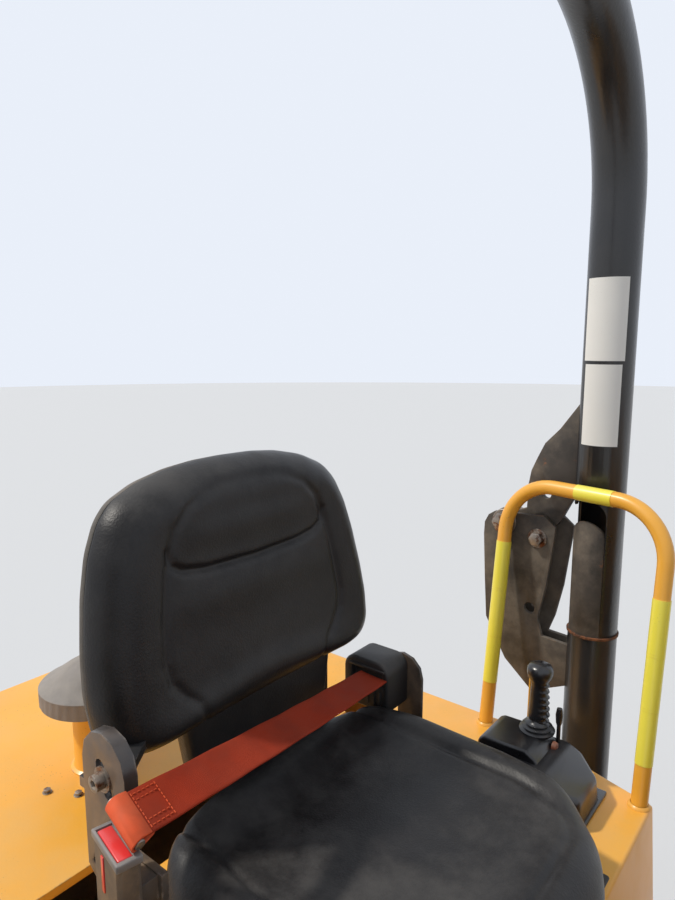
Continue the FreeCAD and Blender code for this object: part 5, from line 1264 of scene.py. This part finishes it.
GRIP = Vector((-0.712, 0.423, 1.5825))
GRIP_PROFILE = [(0.022, 0.012), (0.03, 0.0155), (0.045, 0.0165), (0.07, 0.015), (0.095, 0.0142), (0.104, 0.0152)]
section = [(0.0005, 0), (0.011, 0)] + [(spread(GRIP_PROFILE, 0.022 + 0.002 * k), 0.022 + 0.002 * k)
    for k in range(42)]
section += [(0.02, 0.111), (0.0218, 0.118), (0.0214, 0.126), (0.018, 0.1315), (0.009, 0.135), (0.0005, 0.136)]
grip = turned("grip_lever", section, GRIP, Z, 44)
for vert in corners(grip):
    out, high = vert.co.x - GRIP.x, vert.co.z - GRIP.z
    if out > 0.003 and 0.028 < high < 0.102:
        vert.co.x += 0.0032 * max(0.0, sin(tau * high / 0.0105)) * out / 0.015
thin = turned("thin", [(0.0005, 0), (0.0036, 0), (0.0034, 0.03), (0.0052, 0.036), (0.0064, 0.05), (0.0046, 0.061),
    (0.0005, 0.063)], (-0.678, 0.43, 1.5825), Z, 24)
finished(join("grip_and_thin_lever", [grip, thin]), "grip_black", "control_levers", angle=45)
knob = turned("console_button", [(0.0005, 0), (0.0085, 0), (0.0085, 0.003), (0.007, 0.007), (0.003, 0.0085),
    (0.0005, 0.0085)], (-0.6805, 0.413, 1.583), X, 28)
finished(knob, "button_brown")
guard = swept("lever_guard", bent([(-0.731, 0.428, 1.59), (-0.73, 0.428, 1.69), (-0.722, 0.428, 1.703)], 0.006, 5),
    0.0026, 12)
finished(guard, "grab_yellow")

# %% [markdown]
# The air intake is a painted stub with a clamp band, under a grey plastic rain cap. All of it is round, so each
# piece is spun from its section, and the skirt's fine ribs are pushed in and out by turns.

# %% Intake cap
CAP_LOW, CAP_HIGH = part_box("intake_cap")
CAP = Vector(((CAP_LOW.x + CAP_HIGH.x) / 2, (CAP_LOW.y + CAP_HIGH.y) / 2, CAP_LOW.z))
stub = turned("intake_stub", [(0.0005, 0), (0.045, 0), (0.0445, 0.002), (0.0395, 0.005), (0.0377, 0.01),
    (0.0377, 0.112), (0.0392, 0.12), (0.0392, 0.1285), (0.0005, 0.1285)], CAP, Z, 56)
finished(stub, "machine_yellow", body="bonnet_body")
clamp = turned("intake_clamp", [(0.037, 0.1105), (0.0396, 0.1105), (0.0402, 0.112), (0.0402, 0.117), (0.0396, 0.1185),
    (0.037, 0.1185), (0.037, 0.1105)], CAP, Z, 56)
finished(clamp, "black_and_painted_shade", body="bonnet_body")
dome = turned("intake_rain_cap", [(0.0005, 0.127), (0.08, 0.127), (0.081, 0.123), (0.0852, 0.1235), (0.086, 0.126),
    (0.086, 0.1485), (0.0866, 0.15), (0.0866, 0.1515), (0.0835, 0.1545), (0.074, 0.159), (0.06, 0.169), (0.044, 0.18),
    (0.03, 0.1885), (0.016, 0.1945), (0.006, 0.1965), (0.0005, 0.1967)], CAP, Z, 144)
for vert in corners(dome):
    out = Vector((vert.co.x - CAP.x, vert.co.y - CAP.y, 0))
    if 0.124 < vert.co.z - CAP.z < 0.149 and out.length > 0.084:
        vert.co += out.normalized() * 0.0007 * cos(36 * atan2(out.y, out.x))
finished(dome, "cap_grey", "intake_cap", angle=40)
bolts("intake_bolts", [(CAP.x + 0.01, CAP.y - 0.098, CAP.z), (CAP.x + 0.055, CAP.y - 0.07, CAP.z)], Z, 0.012,
    "bonnet_body")

# %% [markdown]
# The bonnet is folded sheet with seven slots in its rear face. It keeps the CAD shape with soft folds, and gains a
# seal along its foot, a latch on each flank and a blank riveted plate.

# %% Bonnet and hinges
dressed("bonnet", 0.0035, segments=3)
dressed("bonnet_hinges", 0.001)
FLANK_Y = 0.545
for side, sign in SIDES:
    flank = sign * FLANK_Y
    seal = block("seal", (-1.94, flank, 0.962), (-1.104, flank + sign * 0.004, 0.974), 0.001)
    latch = [block("latch", (x - 0.022, flank, 1.02), (x + 0.022, flank + sign * 0.01, 1.105), 0.004, 3)
        for x in (-1.3, -1.75)]
    finished(join(f"bonnet_latches_{side}", [seal] + latch), "black_plastic", body="bonnet_body")
    pull = [drum("pull", 0.006, (x, flank + sign * 0.012, 1.03), (x, flank + sign * 0.018, 1.095), 16)
        for x in (-1.3, -1.75)]
    finished(join(f"latch_pulls_{side}", [rounded_edges(p, 0.0015, 2) for p in pull]), "bolt_steel",
        body="bonnet_body")
    finished(block(f"bonnet_plate_{side}", (-1.3, flank, 1.33), (-1.16, flank + sign * 0.002, 1.4), 0.0008),
        "label_white", body="bonnet_body")
    rivets = [turned("rivet", [(0.0005, 0.0025), (0.003, 0.002), (0.0042, 0.0)], (x, flank + sign * 0.002, z),
        Y * sign, 16) for x in (-1.293, -1.167) for z in (1.337, 1.393)]
    finished(join(f"plate_rivets_{side}", rivets), "bolt_steel", body="bonnet_body")

# %% [markdown]
# Two beacons stand on the hoop, one amber and one green. Each is a black collar and a fluted lens, both spun, on a
# saddle clamped to the tube.

# %% Beacons
BEACON_FOOT = 2.833
collars = []
for y in (-0.08, 0.08):
    at = (LEG_X, y, BEACON_FOOT)
    collars.append(turned("collar", [(0.0005, -0.008), (0.05, -0.008), (0.052, -0.005), (0.052, 0.008),
        (0.049, 0.0115), (0.0005, 0.012)], at, Z, 48))
    collars.append(block("saddle", (LEG_X - 0.022, y - 0.022, 2.805), (LEG_X + 0.022, y + 0.022, 2.828), 0.003, 3))
    collars.append(turned("clamp", [(TUBE_R, -0.01), (TUBE_R + 0.003, -0.01), (TUBE_R + 0.003, 0.01), (TUBE_R, 0.01),
        (TUBE_R, -0.01)], (LEG_X, y, HOOP_TOP - TUBE_R), Y, 48))
finished(join("beacon_collars", collars), "black_plastic", "beacons")
for y, material in ((-0.08, "beacon_green"), (0.08, "beacon_amber")):
    lens = turned("beacon_lens_" + material[7:], [(0.0005, 0.01), (0.044, 0.01), (0.044, 0.014), (0.0448, 0.02),
        (0.0448, 0.066), (0.0432, 0.078), (0.0385, 0.088), (0.03, 0.0945), (0.016, 0.0975), (0.0005, 0.098)],
        (LEG_X, y, BEACON_FOOT), Z, 96)
    for vert in corners(lens):
        out = Vector((vert.co.x - LEG_X, vert.co.y - y, 0))
        if 0.018 < vert.co.z - BEACON_FOOT < 0.07 and out.length > 0.04:
            vert.co += out.normalized() * 0.0012 * cos(24 * atan2(out.y, out.x))
    finished(lens, material, angle=40, body="hoop")

# %% [markdown]
# The tyres have a rounded carcass with raised rings on the wall, and two rows of cranked lugs. The carcass is spun.
# One lug is a bevelled plate that is then wrapped round the tread, and copied by turns. One tyre and one rim are
# drawn at the origin and copied to the four hubs, the right pair mirrored.

# %% Tyres
TYRE_R, LUGS = 0.54, 14
WALL = [(0.2545, 0.15), (0.276, 0.1515), (0.284, 0.16), (0.29, 0.16), (0.3, 0.169), (0.325, 0.182), (0.355, 0.1915),
    (0.357, 0.1935), (0.363, 0.1945), (0.366, 0.1935), (0.395, 0.1985), (0.425, 0.1985), (0.452, 0.195),
    (0.454, 0.1965), (0.46, 0.196), (0.463, 0.193), (0.48, 0.186), (0.496, 0.174), (0.505, 0.158), (0.509, 0.13),
    (0.51, 0.08)]


def round_axle(name, half, steps):
    """A closed section, mirrored about the wheel's middle plane, spun round the axle."""
    section = [(r, -y) for r, y in half] + [(r, y) for r, y in half[::-1]]
    return turned(name, section + section[:1], (0, 0, 0), Y, steps)


carcass = round_axle("carcass", WALL, 96)


def lug_outline():
    """One lug from the middle of the tread to its shoulder, along the tread and across it."""
    trail = [(-0.074, 0.006), (-0.066, 0.024), (-0.05, 0.048), (-0.034, 0.07), (-0.022, 0.088), (-0.008, 0.112),
        (0.008, 0.14), (0.02, 0.166), (0.028, 0.186)]
    lead = [(t + 0.058 - 0.01 * k / 8, y) for k, (t, y) in enumerate(trail)]
    return [(t - 0.009, y) for t, y in trail + lead[::-1]]


lug = plate("lug", [(t, y, 0.486) for t, y in lug_outline()], (0, 0, 0.055))
for vert in corners(lug):
    across, radius = vert.co.y, vert.co.z
    if radius > 0.52:
        radius = TYRE_R - 0.01 * max(0.0, (across - 0.15) / 0.036) ** 1.6
    else:
        radius -= 0.03 * max(0.0, (across - 0.14) / 0.046)
    angle = vert.co.x * (1.07 if radius < 0.52 else 0.97) / TYRE_R
    vert.co = (radius * sin(angle), across, radius * cos(angle))
rounded_edges(lug, 0.007, 2, 30)
for vert in corners(lug):
    over = max(1.0, hypot(vert.co.x, vert.co.z) / TYRE_R)
    vert.co.x, vert.co.z = vert.co.x / over, vert.co.z / over
pieces = [carcass]
for row in (1, -1):
    for k in range(LUGS):
        copy = twin(lug, "lug", across=row < 0)
        copy.data.transform(Matrix.Rotation(tau * (k + (0.5 if row > 0 else 0)) / LUGS + pi, 4, "Y"))
        pieces.append(copy)
bpy.data.objects.remove(lug)
tyre = join("tyre", pieces)


def to_hubs(made, stem, material, replaced=None):
    """Copies of a piece drawn at the origin, one on each wheel."""
    for end in ("rear", "front"):
        for side, sign in SIDES:
            low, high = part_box(f"tyre_{end}_{side}")
            copy = twin(made, f"{stem}_{end}_{side}", across=sign < 0)
            copy.data.transform(Matrix.Translation(((low.x + high.x) / 2, (low.y + high.y) / 2, TYRE_R)))
            nodes = [f"{replaced}_{end}_{side}"] if replaced else []
            finished(copy, material, *nodes, angle=40, body=f"wheel_{end}_{side}")
    bpy.data.objects.remove(made)


to_hubs(tyre, "tyre_treaded", "tyre", "tyre")

# %% Rims, nuts and hub caps
ring = round_axle("ring", [(0.243, 0.159), (0.268, 0.1585), (0.274, 0.155), (0.273, 0.15), (0.255, 0.149),
    (0.253, 0.1), (0.23, 0.06)][::-1] + [(0.243, 0.159), (0.24, 0.12), (0.218, 0.065)], 72)
disc = turned("disc", [(0.0005, -0.008), (0.224, -0.008), (0.226, 0.0), (0.216, 0.006), (0.196, 0.012), (0.176, 0.01),
    (0.16, 0.013), (0.121, 0.014), (0.113, 0.022), (0.107, 0.05), (0.103, 0.074), (0.096, 0.08), (0.064, 0.081),
    (0.0005, 0.081)], (0, 0, 0), Y, 72)
settle(disc)
for k in range(8):
    a = tau * k / 8
    at = Vector((0.196 * cos(a), 0, 0.196 * sin(a)))
    carve(disc, drum("hand_hole", 0.017, at - Y * 0.05, at + Y * 0.05, 24))
rounded_edges(disc, 0.002, 2, 50)
to_hubs(join("rim", [ring, disc]), "rim_pressed", "rim_yellow", "rim")
cap = turned("hub_cap", [(0.0005, 0.08), (0.061, 0.08), (0.061, 0.085), (0.056, 0.0905), (0.04, 0.092),
    (0.038, 0.0895), (0.0005, 0.089)], (0, 0, 0), Y, 40)
to_hubs(cap, "hub_cap", "axle_black")
nut = bolt("nut", (0.14, 0.0135, 0), Y, 0.032, 1.3, 0.024)
nuts = [nut]
for k in range(1, 10):
    copy = twin(nut, "nut")
    copy.data.transform(Matrix.Rotation(tau * k / 10, 4, "Y"))
    nuts.append(copy)
to_hubs(join("nuts", nuts), "wheel_nuts", "bolt_steel")

# %% [markdown]
# The steering wheel is a padded ring on three spokes, with a finger pattern under the ring. It is drawn flat about
# the origin and then tilted onto its column.

# %% Steering wheel
HUB, TILT = Vector((-0.26, 0, 1.74)), radians(-22)
ring = turned("ring", [(0.176 + r * cos(a), r * sin(a)) for r, a in ((0.014, tau * k / 18) for k in range(18))]
    + [(0.19, 0)], (0, 0, 0), Z, 144)
for vert in corners(ring):
    if vert.co.z < -0.002:
        vert.co.z += 0.0016 * cos(36 * atan2(vert.co.y, vert.co.x)) * min(1, -vert.co.z / 0.01)
hub = turned("hub", [(0.0005, -0.03), (0.036, -0.03), (0.042, -0.022), (0.042, 0.004), (0.038, 0.01), (0.033, 0.0135),
    (0.031, 0.012), (0.0005, 0.0145)], (0, 0, 0), Z, 48)
spokes = []
for turn in (90, 210, 330):
    spoke = plate("spoke", [(0.03, -0.017, -0.007), (0.1, -0.01, -0.007), (0.17, -0.014, -0.006),
        (0.17, 0.014, -0.006), (0.1, 0.01, -0.007), (0.03, 0.017, -0.007)], (0, 0, 0.009), 0.003, 3)
    spoke.data.transform(Matrix.Rotation(radians(turn), 4, "Z"))
    spokes.append(spoke)
wheel = join("steering_wheel_ring", [ring, hub] + spokes)
wheel.data.transform(Matrix.Translation(HUB) @ Matrix.Rotation(TILT, 4, "Y"))
finished(wheel, "black_plastic", "steering_wheel", angle=45)

# %% Steering column, binnacle and gauges
dressed("steering_column", 0.004, segments=3)
dressed("binnacle", 0.01, segments=4)
PANEL_AT, PANEL_OUT = Vector((-0.135, 0, 1.65)), Vector((-0.781, 0, 0.625)).normalized()
bezels, faces = [], []
for y in (-0.072, 0.072):
    at = PANEL_AT + Y * y + PANEL_OUT * -0.001
    bezels.append(turned("bezel", [(0.03, 0), (0.037, 0), (0.0365, 0.006), (0.0325, 0.0075), (0.03, 0.005),
        (0.03, 0)], at, PANEL_OUT, 48))
    faces.append(turned("gauge", [(0.0005, 0.001), (0.03, 0.001), (0.03, 0.0035), (0.0005, 0.004)], at, PANEL_OUT,
        48))
    for k in range(9):
        tick = block("tick", (-0.0008, -0.002, 0), (0.0008, 0.002, 0.0008))
        settle(tick)
        tick.data.transform(Matrix.Rotation(radians(-120 + 30 * k), 4, "Z") @ Matrix.Translation((0, 0.0245, 0.0036)))
        tick.data.transform(Matrix.Translation(at) @ PANEL_OUT.to_track_quat("Z", "Y").to_matrix().to_4x4())
        bezels.append(rounded_edges(tick, 0.0002, 1))
key = turned("key_switch", [(0.0005, 0), (0.014, 0), (0.014, 0.005), (0.01, 0.01), (0.0005, 0.01)],
    PANEL_AT - Y * 0.118 + PANEL_OUT * -0.001, PANEL_OUT, 32)
finished(join("gauge_bezels", bezels + [key]), "bolt_steel")
finished(join("gauge_faces", faces), "glass_dark")
lamps = [turned("telltale", [(0.0005, 0.004), (0.004, 0.004), (0.0055, 0.002), (0.0055, 0)],
    PANEL_AT + Y * y - Vector((0.03, 0, 0.0375)), PANEL_OUT, 20) for y in (-0.1, -0.07, 0.07, 0.1)]
finished(join("telltales", lamps), "lamp_red")

# %% [markdown]
# A ribbed rubber mat covers the driver's floor, with two pedals hung in front of it.

# %% Floor mat and pedals
mat = [block("mat", (-0.478, -0.35, 1.0995), (-0.15, 0.35, 1.1045), 0.0015)]
mat += [block("rib", (-0.47 + 0.0215 * k, -0.34, 1.104), (-0.461 + 0.0215 * k, 0.34, 1.1075), 0.0012, 1)
    for k in range(15)]
mat = join("floor_mat", mat)
finished(mat, "mat_rubber")
pedals = []
for y in (-0.215, 0.215):
    pedals.append(plate("pad", [(-0.215, y - 0.04, 1.15), (-0.178, y - 0.04, 1.235), (-0.17, y - 0.04, 1.2315),
        (-0.207, y - 0.04, 1.1465)], (0, 0.08, 0), 0.002, 2))
    pedals.append(drum("arm", 0.008, (-0.186, y, 1.195), (-0.132, y, 1.22), 20))
    pedals += [block("rib", (-0.208 + 0.012 * k, y - 0.036, 1.16 + 0.0276 * k),
        (-0.2 + 0.012 * k, y + 0.036, 1.166 + 0.0276 * k), 0.001, 1) for k in range(3)]
finished(join("floor_pedals", pedals), "frame_black")

# %% [markdown]
# The skip is welded plate with a boxed rim. Its outside is painted, and inside the loads have scoured it to rust and
# dry soil, so the faces that look inwards take a second finish. Gussets brace the rim.

# %% Skip
skip = rounded_edges(welded_copy("skip"), 0.004, 2)
finished(skip, "machine_yellow", "skip", angle=30)
skip.data.materials.append(MATERIALS["skip_worn"])
INSIDE = Vector((1.15, 0, 1.45))
for face in skip.data.polygons:
    if face.center.z > 0.926 and face.normal.dot(INSIDE - face.center) > 0.02:
        face.material_index = 1
gussets = []
for sign in (1, -1):
    for x in (0.36, 0.71, 1.06, 1.4):
        gussets.append(plate("gusset", [(x, sign * y, z) for y, z in ((1.044, 1.46), (1.06, 1.581), (1.101, 1.581),
            (1.098, 1.565))], (0.01, 0, 0), 0.001, 2))
finished(join("skip_gussets", gussets), "machine_yellow", body="skip_body")

# %% [markdown]
# A lamp sits each side at the rear: a red lens with pressed rings in a black collar.

# %% Rear lamps
LAMP_LOW, LAMP_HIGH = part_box("rear_lamps")
LAMP_Z = (LAMP_LOW.z + LAMP_HIGH.z) / 2
collars, lenses = [], []
for y in (-0.33, 0.33):
    at = (LAMP_HIGH.x, y, LAMP_Z)
    collars.append(turned("collar", [(0.044, 0.0), (0.055, 0.0), (0.055, 0.024), (0.052, 0.028), (0.044, 0.026),
        (0.044, 0.0)], at, -X, 48))
    lenses.append(turned("lens", [(0.0005, 0.0), (0.045, 0.0), (0.045, 0.026)]
        + [(0.044 - 0.0042 * k, 0.0285 + (0.0018 if k % 2 else 0.0) + 0.0006 * k) for k in range(10)]
        + [(0.0005, 0.0345)], at, -X, 48))
finished(join("lamp_collars", collars), "black_plastic")
finished(join("lamp_lenses", lenses), "lamp_red", "rear_lamps")

# %% [markdown]
# Each hydraulic ram has a painted barrel with a screwed gland, a polished rod and an eye at each end. They are spun
# about the line between their pins.

# %% Rams
def ram_eye(centre, across):
    """An eye round a pin."""
    return turned("eye", [(0.0165, -0.02), (0.031, -0.02), (0.033, -0.017), (0.033, 0.017), (0.031, 0.02),
        (0.0165, 0.02), (0.0165, -0.02)], centre, across, 40)


def ram(start, end, tube_r, rod_r, length, across, drawn=0.0):
    """The barrel's pieces and the rod's pieces, between two pins.

    The rod starts inside the bore, drawn out so far that it stays inside at both limits.
    """
    start, end = Vector(start), Vector(end)
    heading = (end - start).normalized()
    barrel = turned("barrel", [(0.0005, 0.026), (tube_r - 0.006, 0.026), (tube_r, 0.033), (tube_r, length - 0.03),
        (tube_r + 0.004, length - 0.027), (tube_r + 0.005, length - 0.024), (tube_r + 0.005, length - 0.003),
        (tube_r + 0.003, length), (rod_r + 0.003, length), (rod_r + 0.001, length - 0.004), (rod_r + 0.001, 0.06),
        (0.0005, 0.06)], start, heading, 48)
    side = (Z - heading * heading.z).normalized()
    ports = [drum("port", 0.011, start + heading * at + side * (tube_r - 0.004),
        start + heading * at + side * (tube_r + 0.014), 20) for at in (0.06, length - 0.06)]
    rod = drum("rod", rod_r, start + heading * (0.065 + drawn), end - heading * 0.03, 40)
    return [barrel, ram_eye(start, across)] + [rounded_edges(p, 0.002, 2) for p in ports], [rod, ram_eye(end, across)]


barrels, rods = [], []
for y in (0.265, -0.265):
    first, second = ram((0.55, y, 0.45), (0.95, y, 0.8), tube_r=0.045, rod_r=0.0225, length=0.43, across=Y)
    barrels += first
    rods += second
finished(join("tipping_barrels", barrels), "ram_black", "tip_ram_barrels")
finished(join("tipping_rods", rods), "ram_rod", "tip_ram_rods")
EYE = (-0.25 + 0.25 * cos(radians(-100)), 0.25 * sin(radians(-100)), 0.56)
first, second = ram((-0.85, EYE[1], 0.56), EYE, tube_r=0.032, rod_r=0.016, length=0.38, across=Z, drawn=0.14)
finished(join("steering_barrel", first), "ram_black", "steer_ram_barrel")
finished(join("steering_rod", second), "ram_rod", "steer_ram_rod")
dressed("tip_pins", 0.002)
for side, sign in SIDES:
    bolts(f"pin_keepers_{side}", [(1.25 + dx, sign * 0.4, 0.8 + dz)
        for dx, dz in ((0.055, 0), (-0.055, 0), (0, 0.055), (0, -0.055))], Y * sign, 0.02, "front_chassis")
